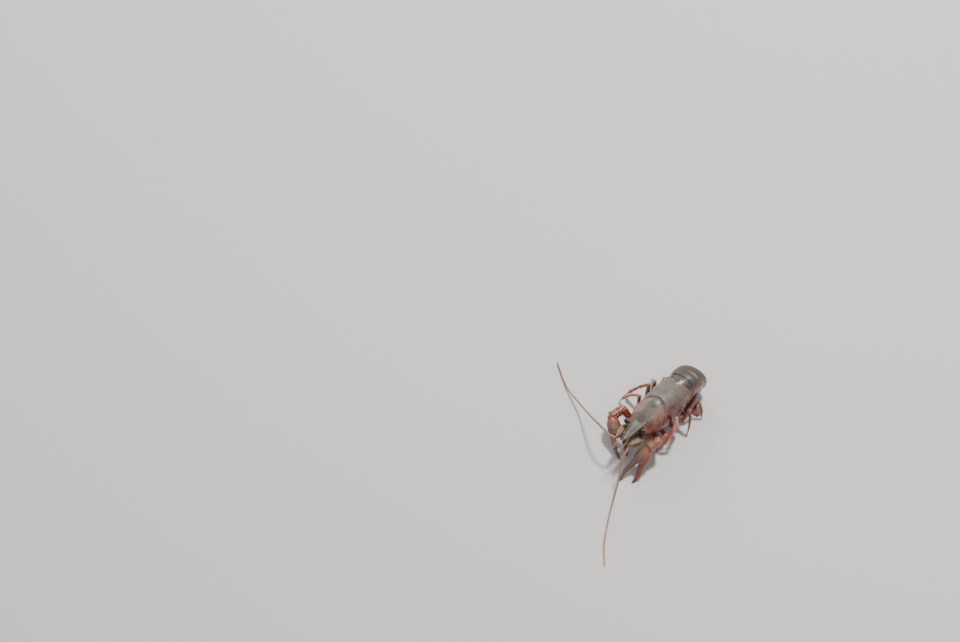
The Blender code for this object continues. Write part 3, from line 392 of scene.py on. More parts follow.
def mirrored(point, side):
    """A point given for the left side, moved to the side asked for."""
    return Vector((point[0] * side, point[1], point[2]))


def middle_of(points):
    return sum(points, Vector()) / len(points)


def ring(centre, along, up, half_width, half_height, sides, cut=None):
    """A ring of points round a centre; cut is the normal of its plane where it is slanted."""
    along = along.normalized()
    side = along.cross(up).normalized()
    top = side.cross(along)
    points = []
    for k in range(sides):
        angle = 2 * math.pi * (k + 0.5) / sides
        offset = side * half_width * math.cos(angle) + top * half_height * math.sin(angle)
        if cut:
            offset -= along * (offset.dot(cut) / along.dot(cut))
        points.append(centre + offset)
    return points


def skin(rings):
    """The closed surface through a list of rings; a ring of one point is a tip."""
    points = [point for row in rings for point in row]
    faces = []
    start = 0
    for row, following in zip(rings, rings[1:]):
        after = start + len(row)
        count = max(len(row), len(following))
        for k in range(count):
            j = (k + 1) % count
            corners = (start + k % len(row), start + j % len(row),
                       after + j % len(following), after + k % len(following))
            faces.append(tuple(dict.fromkeys(corners)))
        start = after
    if len(rings[0]) > 1:
        faces.append(tuple(reversed(range(len(rings[0])))))
    if len(rings[-1]) > 1:
        faces.append(tuple(range(start, start + len(rings[-1]))))
    return points, faces


def refined(rings, spacing):
    """More rings between the given ones, on smooth lines through their like points."""
    places = [0.0]
    for a, b in zip(rings, rings[1:]):
        places.append(places[-1] + max((middle_of(b) - middle_of(a)).length, 0.05))
    keys = [[[(place, row[corner][axis]) for place, row in zip(places, rings)] for axis in range(3)]
            for corner in range(len(rings[0]))]
    count = max(2, round(places[-1] / spacing))
    spots = [places[-1] * k / count for k in range(count + 1)]
    return [[Vector([curve_value(axis, spot) for axis in corner]) for corner in keys] for spot in spots]


def vane(rows):
    """A thin closed blade from rows of (upper, lower) points."""
    columns = len(rows[0])
    points = [point for row in rows for pair in row for point in pair]

    def upper(r, c):
        return 2 * (r * columns + c)

    faces = []
    for r in range(len(rows) - 1):
        for c in range(columns - 1):
            a, b, d, e = upper(r, c), upper(r, c + 1), upper(r + 1, c + 1), upper(r + 1, c)
            faces += [(a, b, d, e), (e + 1, d + 1, b + 1, a + 1)]
        for c, turn in ((0, 1), (columns - 1, -1)):
            edge = (upper(r, c), upper(r + 1, c), upper(r + 1, c) + 1, upper(r, c) + 1)
            faces.append(edge[::turn])
    for r, turn in ((0, -1), (len(rows) - 1, 1)):
        for c in range(columns - 1):
            edge = (upper(r, c), upper(r, c + 1), upper(r, c + 1) + 1, upper(r, c) + 1)
            faces.append(edge[::turn])
    return points, faces


def stand_clear(points):
    """Flatten what would pass below the floor."""
    return [Vector((p.x, p.y, max(p.z, 0.0))) for p in points]


def ball(centre, radius, rows=10, sides=16, pole=UP, across=BACK):
    """A closed ball, whose rings lie round its pole."""
    rings = [[centre - pole * radius]]
    for k in range(1, rows):
        turn = math.pi * k / rows
        half = radius * math.sin(turn)
        rings.append(ring(centre - pole * radius * math.cos(turn), pole, across, half, half, sides))
    return skin(rings + [[centre + pole * radius]])


def spike(root, direction, length, radius, sink=0.8, sides=8):
    """A spine that narrows to its tip, with its root under the surface."""
    direction = direction.normalized()
    across = UP if abs(direction.z) < 0.9 else BACK
    rings = [ring(root + direction * place, direction, across, half, half, sides)
             for place, half in ((-sink, radius * 1.1), (0, radius), (length * 0.5, radius * 0.55))]
    return skin(rings + [[root + direction * length]])


def knob(root, direction, height, radius, sides=10):
    """A rounded knob, sunk below the surface point it stands on."""
    direction = direction.normalized()
    across = UP if abs(direction.z) < 0.9 else BACK
    rings = [ring(root + direction * place, direction, across, half, half, sides)
             for place, half in ((-radius, radius), (height * 0.3, radius * 0.92),
                                 (height * 0.75, radius * 0.6))]
    return skin(rings + [[root + direction * height]])


# Meshes

def raw_mesh(forms):
    """One mesh, in millimetres, from several closed forms."""
    points, faces = [], []
    for form_points, form_faces in forms:
        start = len(points)
        points += [tuple(point) for point in form_points]
        faces += [tuple(start + index for index in face) for face in form_faces]
    mesh = bpy.data.meshes.new("forms")
    mesh.from_pydata(points, [], faces)
    work = bmesh.new()
    work.from_mesh(mesh)
    bmesh.ops.recalc_face_normals(work, faces=work.faces)
    work.to_mesh(mesh)
    work.free()
    return mesh


def drop_crumbs(mesh):
    """Take out specks that the fusing left beside the tips of thin spines."""
    work = bmesh.new()
    work.from_mesh(mesh)
    seen = set()
    crumbs = []
    for first in work.verts:
        if first in seen:
            continue
        seen.add(first)
        island = [first]
        for point in island:
            for edge in point.link_edges:
                other = edge.other_vert(point)
                if other not in seen:
                    seen.add(other)
                    island.append(other)
        if len(island) < CRUMB:
            crumbs += island
    bmesh.ops.delete(work, geom=crumbs, context="VERTS")
    work.to_mesh(mesh)
    work.free()


def fused_mesh(forms, voxel, passes):
    """One even skin round several closed forms, eased a few times."""
    thing = bpy.data.objects.new("fusing", raw_mesh(forms))
    bpy.context.scene.collection.objects.link(thing)
    remesh = thing.modifiers.new("Fuse", "REMESH")
    remesh.mode = "VOXEL"
    remesh.voxel_size = voxel
    ease = thing.modifiers.new("Ease", "SMOOTH")
    ease.factor = 0.5
    ease.iterations = passes
    graph = bpy.context.evaluated_depsgraph_get()
    mesh = bpy.data.meshes.new_from_object(thing.evaluated_get(graph))
    bpy.data.objects.remove(thing)
    drop_crumbs(mesh)
    return mesh


def mesh_points(mesh):
    values = np.empty(len(mesh.vertices) * 3, np.float32)
    mesh.vertices.foreach_get("co", values)
    return values.reshape(-1, 3)


def mesh_normals(mesh):
    values = np.empty(len(mesh.vertices) * 3, np.float32)
    mesh.vertex_normals.foreach_get("vector", values)
    return values.reshape(-1, 3)


def add_relief(mesh, relief):
    """Move each point along its normal by relief(point, normal); some reliefs need no normal."""
    points, normals = mesh_points(mesh), mesh_normals(mesh)
    moves = [relief(Vector(p), n) for p, n in zip(points, normals)]
    points += normals * np.array(moves, np.float32)[:, None]
    mesh.vertices.foreach_set("co", points.ravel())
    mesh.update()


def relief_mesh(forms, voxel, relief=None, passes=3):
    """Fuse forms into one skin, give it its relief and mark its heights."""
    mesh = fused_mesh(forms, voxel, passes)
    if relief:
        add_relief(mesh, relief)
    mark_heights(mesh)
    return mesh


def set_mask(mesh, name, values):
    """Store one number for each point, for the finishes to read."""
    attribute = mesh.attributes.new(name, "FLOAT", "POINT")
    attribute.data.foreach_set("value", np.asarray(values, np.float32))


def mark_heights(mesh, passes=14, full=0.16):
    """Mask of what stands out (1) or lies deep (0), against the eased skin."""
    points = mesh_points(mesh)
    count = len(points)
    edges = np.empty(len(mesh.edges) * 2, np.int32)
    mesh.edges.foreach_get("vertices", edges)
    first, second = edges[0::2], edges[1::2]
    degree = np.maximum(np.bincount(edges, minlength=count), 1)
    eased = points.astype(float)
    for _ in range(passes):
        total = np.empty_like(eased)
        for axis in range(3):
            column = eased[:, axis]
            total[:, axis] = (np.bincount(first, column[second], count)
                              + np.bincount(second, column[first], count))
        eased = total / degree[:, None]
    stand = ((points - eased) * mesh_normals(mesh)).sum(1)
    set_mask(mesh, "height", np.clip(0.5 + stand / full / 2, 0, 1))


def mark_near(mesh, name, spots, reach):
    """Mask that is 1 at the given spots and fades out at a reach from them."""
    tree = KDTree(len(spots))
    for index, spot in enumerate(spots):
        tree.insert(spot, index)
    tree.balance()
    values = [math.exp(-(tree.find(Vector(p))[2] / reach) ** 2) for p in mesh_points(mesh)]
    set_mask(mesh, name, values)


def add_piece(name, mesh, material, nodes=()):
    """Place a mesh of millimetres in the frame, dress it, and let it stand for its solids."""
    mesh.transform(Matrix.Scale(MM, 4) @ Matrix.Translation(ORIGIN))
    mesh.name = name
    mesh.shade_smooth()
    mesh.materials.clear()
    mesh.materials.append(material)
    piece = bpy.data.objects.new(name, mesh)
    bpy.context.scene.collection.objects.link(piece)
    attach(piece, "root")
    if nodes:
        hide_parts(*nodes)


def dress(node, mesh, material):
    """Add the mesh that stands for one node of the solids."""
    add_piece(node + "_fine", mesh, material, [node])


def grain(point, size, seed=0.0):
    """Rounded grains, 1 at a grain's middle and 0 between them."""
    distance = noise.voronoi(point / size + Vector((seed, seed, seed)))[0][0]
    return max(0.0, 1 - (distance / 0.5) ** 2)


def eased_step(value, start, end):
    """0 before start, 1 after end, eased between; start may be above end."""
    s = min(max((value - start) / (end - start), 0.0), 1.0)
    return s * s * (3 - 2 * s)


# Finishes

class Wire:
    """One output of a shader node, on which sums can be written as on numbers."""

    def __init__(self, surface, socket):
        self.surface = surface
        self.socket = socket

    def _sum(self, operation, first, second):
        return self.surface.node("ShaderNodeMath", {"operation": operation}, {0: first, 1: second})

    def __add__(self, other):
        return self._sum("ADD", self, other)

    def __radd__(self, other):
        return self._sum("ADD", other, self)

    def __sub__(self, other):
        return self._sum("SUBTRACT", self, other)

    def __rsub__(self, other):
        return self._sum("SUBTRACT", other, self)

    def __mul__(self, other):
        return self._sum("MULTIPLY", self, other)

    def __rmul__(self, other):
        return self._sum("MULTIPLY", other, self)


class Surface:
    """A material whose nodes are made by Python expressions."""

    def __init__(self, name):
        self.material = bpy.data.materials.new(name)
        self.material.use_nodes = True
        self.tree = self.material.node_tree
        self.shader = self.tree.nodes["Principled BSDF"]

    def node(self, kind, settings=None, values=None, output=0):
        """Add a node: its settings first, then the values or links of its sockets."""
        made = self.tree.nodes.new(kind)
        for key, value in (settings or {}).items():
            setattr(made, key, value)
        for key, value in (values or {}).items():
            self.feed(made.inputs[key], value)
        return Wire(self, made.outputs[output])

    def feed(self, socket, value):
        if isinstance(value, Wire):
            self.tree.links.new(value.socket, socket)
        elif isinstance(value, (int, float)):
            socket.default_value = value
        elif len(socket.default_value) == 4:
            socket.default_value = (*tuple(value)[:3], 1)
        else:
            socket.default_value = tuple(value)

    def place(self):
        """The point on the animal, in millimetres, with the carapace's hind edge at Y = 0."""
        point = self.node("ShaderNodeTexCoord", output="Object")
        scaled = self.node("ShaderNodeVectorMath", {"operation": "SCALE"}, {0: point, "Scale": 1 / MM})
        return self.node("ShaderNodeVectorMath", {"operation": "SUBTRACT"}, {0: scaled, 1: ORIGIN})

    def axes(self, point):
        return [self.node("ShaderNodeSeparateXYZ", None, {0: point}, axis) for axis in range(3)]

    def noise(self, point, size, detail=3.0, roughness=0.55, distortion=0.0):
        """Cloudy noise from 0 to 1, with patches of a size in millimetres."""
        values = {"Vector": point, "Scale": 1 / size, "Detail": detail, "Roughness": roughness,
                  "Distortion": distortion}
        return self.node("ShaderNodeTexNoise", None, values)

    def patches(self, point, size, distortion, start, end):
        """Patches of a size in millimetres, from 0 between them to 1, with eased edges."""
        return self.step(self.noise(point, size, 4.0, 0.6, distortion), start, end)

    def cells(self, point, size):
        """Distance to the nearest cell's middle, with cells of a size in millimetres."""
        return self.node("ShaderNodeTexVoronoi", None, {"Vector": point, "Scale": 1 / size})

    def stretched(self, point, sizes):
        """The point with its axes divided by the given sizes."""
        factors = tuple(1 / size for size in sizes)
        return self.node("ShaderNodeVectorMath", {"operation": "MULTIPLY"}, {0: point, 1: factors})

    def step(self, value, start, end):
        """0 before start, 1 after end, eased between."""
        values = {"Value": value, "From Min": start, "From Max": end, "To Min": 0.0, "To Max": 1.0}
        return self.node("ShaderNodeMapRange", {"interpolation_type": "SMOOTHSTEP"}, values)

    def near(self, point, spot, reach):
        """1 at a spot, 0 past a reach from it."""
        gap = self.node("ShaderNodeVectorMath", {"operation": "DISTANCE"}, {0: point, 1: spot}, "Value")
        return self.step(gap, reach, 0.0)

    def mask(self, name):
        return self.node("ShaderNodeAttribute", {"attribute_name": name}, None, "Fac")

    def facing_up(self):
        """How far the surface looks up, from -1 to 1."""
        normal = self.node("ShaderNodeNewGeometry", output="Normal")
        return self.node("ShaderNodeSeparateXYZ", None, {0: normal}, 2)

    def mix(self, factor, first, second):
        """Blend two colours."""
        return self.node("ShaderNodeMix", {"data_type": "RGBA"}, {0: factor, 6: first, 7: second}, 2)

    def bump(self, height, distance, strength=1.0, normal=None):
        """Small relief, with its full height in millimetres."""
        values = {"Height": height, "Distance": distance * MM, "Strength": strength}
        if normal:
            values["Normal"] = normal
        return self.node("ShaderNodeBump", None, values)

    def finish(self, colour, roughness, normal=None, coat=0.0, coat_roughness=0.1):
        """Feed the shader and give the material."""
        self.feed(self.shader.inputs["Base Color"], colour)
        self.feed(self.shader.inputs["Roughness"], roughness)
        self.feed(self.shader.inputs["Coat Weight"], coat)
        self.shader.inputs["Coat Roughness"].default_value = coat_roughness
        if normal:
            self.feed(self.shader.inputs["Normal"], normal)
        return self.material


def toned(colour, factor):
    """A colour made darker or lighter."""
    return tuple(channel * factor for channel in colour)


def filmed(surface, point, colour, amount, greener=0.0, warmer=0.0, shade=1.0, seed=0.0):
    """Lay the wet mud film over a colour, and give colour and mask.

    More of it lies on top, in hollows and near the floor.
    """
    colours = bpy.context.scene.crayfish_colours
    shifted = surface.node("ShaderNodeVectorMath", {"operation": "ADD"},
                           {0: point, 1: (seed, seed * 2, seed * 3)})
    clouds = surface.noise(shifted, 5.0, 5.0, 0.62, 0.6)
    streaks = surface.noise(surface.stretched(shifted, (1.0, 3.5, 1.0)), 0.9, 4.0, 0.6)
    specks = surface.noise(shifted, 0.35, 3.0, 0.7)
    top = surface.step(surface.facing_up(), -0.35, 0.75)
    low = surface.step(surface.axes(point)[2], 8.0, 0.5)
    hollow = 1 - surface.mask("height")
    cover = clouds * 0.8 + streaks * 0.22 + hollow * 0.45 + top * 0.55 + specks * 0.2 + low * 0.28
    mask = surface.step(cover, 1.42 - amount, 1.78 - amount)
    tone = surface.step(surface.noise(shifted, 3.0, 4.0, 0.6) + greener, 0.42, 0.72)
    mud = surface.mix(tone, toned(colours.film, shade), toned(colours.green, shade))
    mud = surface.mix(warmer, mud, colours.pink)
    mud = surface.mix(specks * 0.35, mud, toned(colours.film, 1.5 * shade))
    return surface.mix(mask * 0.82, colour, mud), mask


def wet(surface, point, colour, film, rough, grain_size, grain_height, coat=0.55, raised=0.0):
    """Finish a filmed shell: glossy where bare, duller under the film, with pits or raised grains."""
    fine = surface.noise(point, 0.22, 4.0, 0.6)
    pits = surface.cells(point, grain_size)
    relief = surface.bump(pits * (1 - 2.1 * raised), grain_height, 0.6)
    relief = surface.bump(fine + film * 1.5, 0.035, 0.55, relief)
    patchy = surface.noise(point, 2.2, 3.0)
    roughness = rough + film * 0.28 + patchy * 0.12
    return surface.finish(colour, roughness, relief, coat * (1 - 0.62 * film), 0.09)


def shell_finish():
    """Carapace: dark shell, orange front edge, red flanks and cheeks, pinkish band, mud film, painted
    shade low on the flanks.
    """
    colours = bpy.context.scene.crayfish_colours
    s = Surface("wet_shell")
    point = s.place()
    across, back, up = s.axes(point)
    width = s.node("ShaderNodeMath", {"operation": "ABSOLUTE"}, {0: across})
    wander = s.noise(point, 2.4, 4.0, 0.6) * 3.0
    shell = s.step(back, -36.5, -34.2)
    flank = s.step(up + wander, 26.4, 21.0) * (0.3 + 0.7 * s.step(back, -3.0, -16.0)) * shell
    patches = s.patches(point, 2.6, 0.5, 0.42, 0.66)
    colour = s.mix(patches * (0.6 - 0.5 * flank), colours.shell, colours.pink)
    blotch = s.patches(point, 1.6, 0.0, 0.35, 0.6)
    colour = s.mix(flank * (0.4 + 0.5 * blotch), colour, toned(colours.red, 0.85))
    cheek = s.step(back + wander, -20.0, -26.0) * s.step(up, 23.2, 20.8) * shell
    colour = s.mix(cheek * (0.5 + 0.4 * blotch), colour, toned(colours.red, 1.15))
    band = s.step(back, -31.5, -28.0) * s.step(back, -17.0, -21.0) * s.step(up, 19.5, 22.0)
    band = band * s.step(width + wander * 0.9, 2.4, 6.4)
    colour = s.mix(band * (0.35 + 0.5 * blotch), colour, colours.pink)
    edge = s.step(back, -33.2, -35.2) * s.step(width, 3.0, 4.6)
    colour = s.mix(edge * 0.85 * shell, colour, colours.orange)
    rim = s.step(back, -1.4, -0.2)
    colour = s.mix(rim * 0.5, colour, colours.pink)
    ridge = s.step(s.mask("height"), 0.68, 0.95)
    colour = s.mix(ridge * flank * 0.5, colour, colours.orange)
    head = s.step(back, -18.5, -26.0) * s.step(up, 20.5, 22.5) * (1 - band)
    amount = 0.46 - edge * shell * 0.3 - cheek * 0.12 - flank * 0.6 + head * 0.1 + (1 - shell) * 0.3
    colour, film = filmed(s, point, colour, amount, head * 0.75, band * 0.7)
    ragged = s.noise(point, 0.8, 4.0, 0.65)
    fleck = s.step(s.near(point, FLECK_PLACE, 2.3) - ragged * 1.1, -0.08, 0.14)
    colour = s.mix(fleck * 0.75, colour, toned(colours.shell, 0.4))
    beak = 1 - shell
    colour = s.mix(beak * 0.3, colour, toned(colours.green, 0.7))
    # Painted shade: the low flanks are darkened toward the dark shell colour, as shade under the
    # carapace's sides.
    under = s.step(up + wander * 0.6, 21.5, 14.5) * shell
    colour = s.mix(under * 0.4, colour, toned(colours.shell, 0.5))
    washed = s.near(point, WASHED_PLACE, 3.6) * 1.7
    return wet(s, point, colour, film - beak * 0.5 - washed, 0.22, 0.5, 0.035, raised=flank + beak)


def tail_finish():
    """Tail rings: grey green film over dark shell, pinkish low on the sides, orange hind edges."""
    colours = bpy.context.scene.crayfish_colours
    s = Surface("wet_tail")
    point = s.place()
    patches = s.patches(point, 2.4, 0.4, 0.42, 0.64)
    colour = s.mix(patches * 0.5, colours.shell, colours.red)
    aside = s.node("ShaderNodeMath", {"operation": "ABSOLUTE"}, {0: s.axes(point)[0]})
    low = s.step(aside, 5.5, 8.8)
    colour = s.mix(low * 0.55, colour, colours.pink)
    edge = s.mask("edge")
    colour = s.mix(edge * 0.4, colour, colours.orange)
    colour, film = filmed(s, point, colour, 0.42 - low * 0.18, 0.25, 0.0, 0.5, 7.0)
    return wet(s, point, colour, film, 0.18, 0.6, 0.03)


def claw_finish():
    """Claw limbs: orange arm and wrist, pinker on the left, filmed palm, red flank, orange knobs."""
    colours = bpy.context.scene.crayfish_colours
    s = Surface("wet_claw")
    point = s.place()
    blotch = s.patches(point, 1.8, 0.4, 0.36, 0.64)
    colour = s.mix(blotch * 0.6, colours.red, colours.orange)
    arm = s.mask("arm")
    colour = s.mix(arm * (0.55 + 0.3 * blotch), colour, colours.orange)
    top = s.step(s.facing_up(), 0.0, 0.8) * (1 - arm)
    colour = s.mix(top * 0.35, colour, colours.pink)
    flank = s.mask("side") * (1 - arm)
    colour = s.mix(flank * 0.85, colour, toned(colours.red, 0.8))
    left = s.step(s.axes(point)[0], 6.0, 14.0)
    colour = s.mix(arm * left * 0.4, colour, colours.pink)
    knobs = s.mask("knob")
    colour = s.mix(knobs * 0.5, colour, toned(colours.orange, 1.3))
    joint = s.mask("joint")
    colour = s.mix(joint * 0.4, colour, colours.pale)
    tips = s.mask("tip")
    colour = s.mix(tips * 0.8, colour, toned(colours.red, 0.35))
    amount = 0.4 - arm * 0.6 - knobs * 0.14 - flank * 0.4
    colour, film = filmed(s, point, colour, amount, 0.0, 0.0, 0.85, 3.0)
    return wet(s, point, colour, film, 0.17, 0.4, 0.05)


def leg_finish():
    """Walking legs: salmon, pale at the joints, paler at the knees with a painted highlight, redder
    toward dark toes; filmed on the hind legs.
    """
    colours = bpy.context.scene.crayfish_colours
    s = Surface("wet_leg")
    point = s.place()
    across, back, up = s.axes(point)
    blotch = s.patches(point, 1.3, 0.3, 0.35, 0.65)
    colour = s.mix(blotch * 0.45, colours.salmon, colours.red)
    joint = s.mask("joint")
    # Paler where the legs rise highest: partly pale knee skin, partly a painted highlight.
    knee = s.step(up, 12.0, 19.0)
    colour = s.mix(knee * 0.6, colour, toned(colours.pale, 1.15))
    colour = s.mix(joint * 0.75, colour, colours.pale)
    lower = s.step(up, 13.0, 4.0)
    colour = s.mix(lower * 0.5, colour, toned(colours.red, 2.8))
    right = s.step(across, -6.0, -12.0)
    colour = s.mix(right * blotch * 0.55, colour, colours.orange)
    tips = s.mask("tip")
    colour = s.mix(tips * 0.7, colour, toned(colours.red, 0.4))
    hind = s.step(back, -14.0, -6.0)
    colour = s.mix(hind * 0.6, colour, colours.shell)
    colour, film = filmed(s, point, colour, -0.04 + hind * 0.32, 0.1, 0.0, 0.8, 11.0)
    return wet(s, point, colour, film, 0.2, 0.35, 0.03)


def belly_finish():
    """Underside, face and mouth: pale reddish brown, with painted shade darkening the hollows. Made
    once, for all the pieces that wear it.
    """
    made = bpy.data.materials.get("wet_belly")
    if made:
        return made
    colours = bpy.context.scene.crayfish_colours
    s = Surface("wet_belly")
    point = s.place()
    blotch = s.patches(point, 1.6, 0.3, 0.35, 0.65)
    colour = s.mix(blotch * 0.7, colours.pink, colours.salmon)
    # Painted shade: creases, seams and gaps between plates are darkened toward the dark shell colour.
    hollow = s.step(s.mask("height"), 0.5, 0.2)
    colour = s.mix(hollow * 0.75, colour, colours.shell)
    colour, film = filmed(s, point, colour, 0.2, 0.0, 0.0, 0.7, 17.0)
    return wet(s, point, colour, film, 0.25, 0.45, 0.03)


def feeler_finish():
    """Feelers and scales: muddy tan, darker between the rings."""
    colours = bpy.context.scene.crayfish_colours
    s = Surface("wet_feeler")
    point = s.place()
    blotch = s.patches(point, 1.1, 0.3, 0.35, 0.65)
    colour = s.mix(blotch * 0.45, colours.tan, colours.salmon)
    hollow = s.step(s.mask("height"), 0.5, 0.25)
    colour = s.mix(hollow * 0.6, colour, colours.shell)
    root = s.step(s.axes(point)[1], -51.0, -46.5)
    colour = s.mix(root * (0.3 + 0.3 * blotch), colour, colours.shell)
    colour, film = filmed(s, point, colour, 0.12 + root * 0.1, 0.1, 0.0, 0.9, 23.0)
    return wet(s, point, colour, film, 0.3, 0.3, 0.02, 0.35)


def fan_finish():
    """Tail fan: dark red blades, paler at the edges."""
    colours = bpy.context.scene.crayfish_colours
    s = Surface("wet_fan")
    point = s.place()
    blotch = s.patches(point, 1.5, 0.3, 0.35, 0.65)
    colour = s.mix(blotch * 0.8, toned(colours.red, 0.5), toned(colours.red, 1.2))
    edge = s.mask("edge")
    colour = s.mix(edge * 0.5, colour, colours.salmon)
    colour, film = filmed(s, point, colour, -0.25, 0.0, 0.0, 0.6, 29.0)
    return wet(s, point, colour, film, 0.34, 0.35, 0.025, 0.3)


def eye_finish():
    """Black compound eye, with faint brown flecks and very small facets."""
    s = Surface("eye_black")
    point = s.place()
    facets = s.cells(point, 0.11)
    fleck = s.step(s.noise(point, 0.7, 2.0), 0.5, 0.8)
    colour = s.mix(fleck * 0.5, (0.006, 0.005, 0.005), (0.03, 0.018, 0.012))
    return s.finish(colour, 0.16 + fleck * 0.1, s.bump(facets, 0.012, 0.35), 0.45, 0.05)


def bristle_finish():
    """Bristles: brown, in lighter and darker patches."""
    colours = bpy.context.scene.crayfish_colours
    s = Surface("bristle")
    point = s.place()
    mottle = s.noise(point, 0.8, 2.0)
    colour = s.mix(mottle, toned(colours.bristle, 0.6), toned(colours.bristle, 1.5))
    return s.finish(colour, 0.45 + mottle * 0.15)


# Carapace

def row_place(row, part):
    """Where a row of the shell lies along Y, part of the way (0 to 1) down the flank."""
    groove = -GROOVE_SWEEP * math.sin(part * math.pi / 2) ** 2
    if row > GROOVE_ROW:
        share = row / GROOVE_ROW
        share = share * share * (3 - 2 * share)
        rear = REAR_FLARE * math.sin(math.pi * part) - REAR_TUCK * part ** 4
        return row + rear * (1 - share) + groove * share
    share = (row - FRONT_ROW) / (GROOVE_ROW - FRONT_ROW)
    return row + groove * max(share, 0.0)


def shell_relief(row, angle):
    """How far the shell stands out or sinks in: neck groove, rims, seam, cheeks and swellings."""
    fade = 1 - 0.6 * max(0.0, (abs(angle) - 95) / (SHELL_TURN - 95))
    groove = -1.0 * math.exp(-((row - GROOVE_ROW) / 0.75) ** 2) * fade
    lip = 0.22 * math.exp(-((row - GROOVE_ROW + 1.7) / 0.9) ** 2) * fade
    rim = 0.2 * math.exp(-(row / 0.7) ** 2) - 0.35 * math.exp(-((row + 1.8) / 0.6) ** 2)
    seam = 0.0
    if GROOVE_ROW < row < -2.5:
        apart = abs(angle) - 4.0
        seam = -0.3 * math.exp(-(apart / 1.7) ** 2) * eased_step(row, -2.5, -4.0)
    cheek = 0.5 * math.exp(-((row + 20) / 2.5) ** 2)
    gut = 0.18 * math.exp(-((row + 24) / 3.0) ** 2 - ((abs(angle) - 38) / 14) ** 2)
    jaw = -0.3 * math.exp(-((row + 22) / 1.0) ** 2 - ((abs(angle) - 68) / 16) ** 2)
    front = 0.28 * math.exp(-((row - FRONT_ROW - 0.3) / 0.5) ** 2)
    front -= 0.2 * math.exp(-((row - FRONT_ROW - 1.5) / 0.5) ** 2)
    front *= eased_step(abs(angle), 24, 36)
    front -= 0.75 * math.exp(-(angle / 17) ** 4) * eased_step(row, -29.0, FRONT_ROW)
    edge = 0.22 * math.exp(-((abs(angle) - SHELL_TURN) / 4) ** 2)
    edge -= 0.16 * math.exp(-((abs(angle) - SHELL_TURN + 11) / 4) ** 2)
    return groove + lip + rim + seam + cheek + gut + jaw + front + edge


def shell_point(row, angle, inset=0.0):
    """A point of the shell; angle runs from 0 on the back to SHELL_TURN at a lower edge."""
    y = row_place(row, abs(angle) / SHELL_TURN)
    width = curve_value(SHELL_WIDTH, y)
    top = curve_value(SHELL_TOP, y)
    margin = curve_value(SHELL_MARGIN, y)
    waist = margin + SHELL_WAIST * (top - margin)
    turn = math.radians(angle)
    x = width * math.sin(turn)
    if abs(angle) <= 90:
        z = (top - waist) * math.cos(turn)
    else:
        z = (waist - margin) * math.cos(turn) / -math.cos(math.radians(SHELL_TURN))
    grow = 1 + (shell_relief(row, angle) - inset) / math.hypot(x, z)
    return Vector((x * grow, y, waist + z * grow))


def shell_angles():
    return [SHELL_TURN * (1 - 2 * k / SHELL_COLUMNS) for k in range(SHELL_COLUMNS + 1)]


def shell_row(row):
    """One closed row: over the back from the left edge to the right, and back underneath."""
    outer = [shell_point(row, angle) for angle in shell_angles()]
    edge = outer[0]
    lip = edge.x - SHELL_LIP
    trough = min(TROUGH_HALF, lip - 0.4)
    roof = max(TROUGH_ROOF, edge.z + 0.3)
    under = [(-lip, edge.z), (-trough, roof), (trough, roof), (lip, edge.z)]
    return outer + [Vector((x, edge.y, z)) for x, z in under]


def recess_row(inset, y=None):
    """A row of the hollow behind the rear rim that takes the tail's first ring."""
    rim = shell_row(0.0)
    angles = shell_angles()
    points = []
    for k, point in enumerate(rim):
        if k <= SHELL_COLUMNS:
            point = shell_point(0.0, angles[k], inset)
        place = point.y if y is None else y
        points.append(Vector((point.x, place, max(point.z, RECESS_FLOOR))))
    return points


def face_row(share, depth):
    """A row of the hollow inside the front edge, drawn in toward the head's middle."""
    return [point.lerp(Vector((0, point.y, 16.5)), share) + BACK * depth
            for point in shell_row(FRONT_ROW)]


def rostrum_form():
    """The beak between the eyes: hollow on top between two raised rims, with side spines."""
    keys = [[(-row[0], row[k]) for row in ROSTRUM] for k in range(1, 4)]
    start, end = -ROSTRUM[0][0], -ROSTRUM[-1][0]
    rings = []
    for k in range(ROSTRUM_STEPS + 1):
        place = start + (end - start) * k / ROSTRUM_STEPS
        half, top, thick = [curve_value(key, place) for key in keys]
        rim = min(ROSTRUM_RIM, half * 0.5)
        outline = [(half, -0.45 * thick), (half * 1.01, -0.1 * thick), (half - rim * 0.35, rim * 0.75),
                   (half - rim * 0.8, rim * 0.75), (half - rim * 1.5, 0.0), (half * 0.35, -0.13 * half),
                   (0.0, -0.15 * half), (-half * 0.35, -0.13 * half), (-half + rim * 1.5, 0.0),
                   (-half + rim * 0.8, rim * 0.75), (-half + rim * 0.35, rim * 0.75),
                   (-half * 1.01, -0.1 * thick), (-half, -0.45 * thick), (-half * 0.5, -0.9 * thick),
                   (0.0, -thick), (half * 0.5, -0.9 * thick)]
        rings.append([Vector((x, -place, top + z)) for x, z in outline])
    return skin(rings)


def ridge_form(side):
    """The ridge behind an eye, which ends in front in a spine."""
    rings = []
    for row, angle, half, height in RIDGE:
        spot = shell_point(row, angle * side)
        rings.append(ring(spot + UP * (height - half), -BACK, UP, half, half, 12))
    return skin(rings + [[spot + mirrored(RIDGE_TIP, side)]])


def shell_grain(point, normal):
    """Grains on the flanks and cheeks, and a slow unevenness."""
    size = bpy.context.scene.crayfish_sizes.granule / MM
    flank = eased_step(point.z, 22.5, 17.5)
    front = eased_step(point.y, -16.0, -26.0)
    rough = min(1.0, flank + 0.7 * front * eased_step(point.z, 25.5, 22.5))
    rough *= 1 - 0.6 * eased_step(point.y, -34.5, -37.0)
    spots = grain(point, 1.0) ** 1.5
    slow = noise.noise(point / 3.2) * 0.08 + noise.noise(point / 1.2) * 0.012
    if abs(normal[1]) > 0.95 or normal[2] < -0.7:
        return slow * 0.5
    return slow + rough * size * spots * 1.9


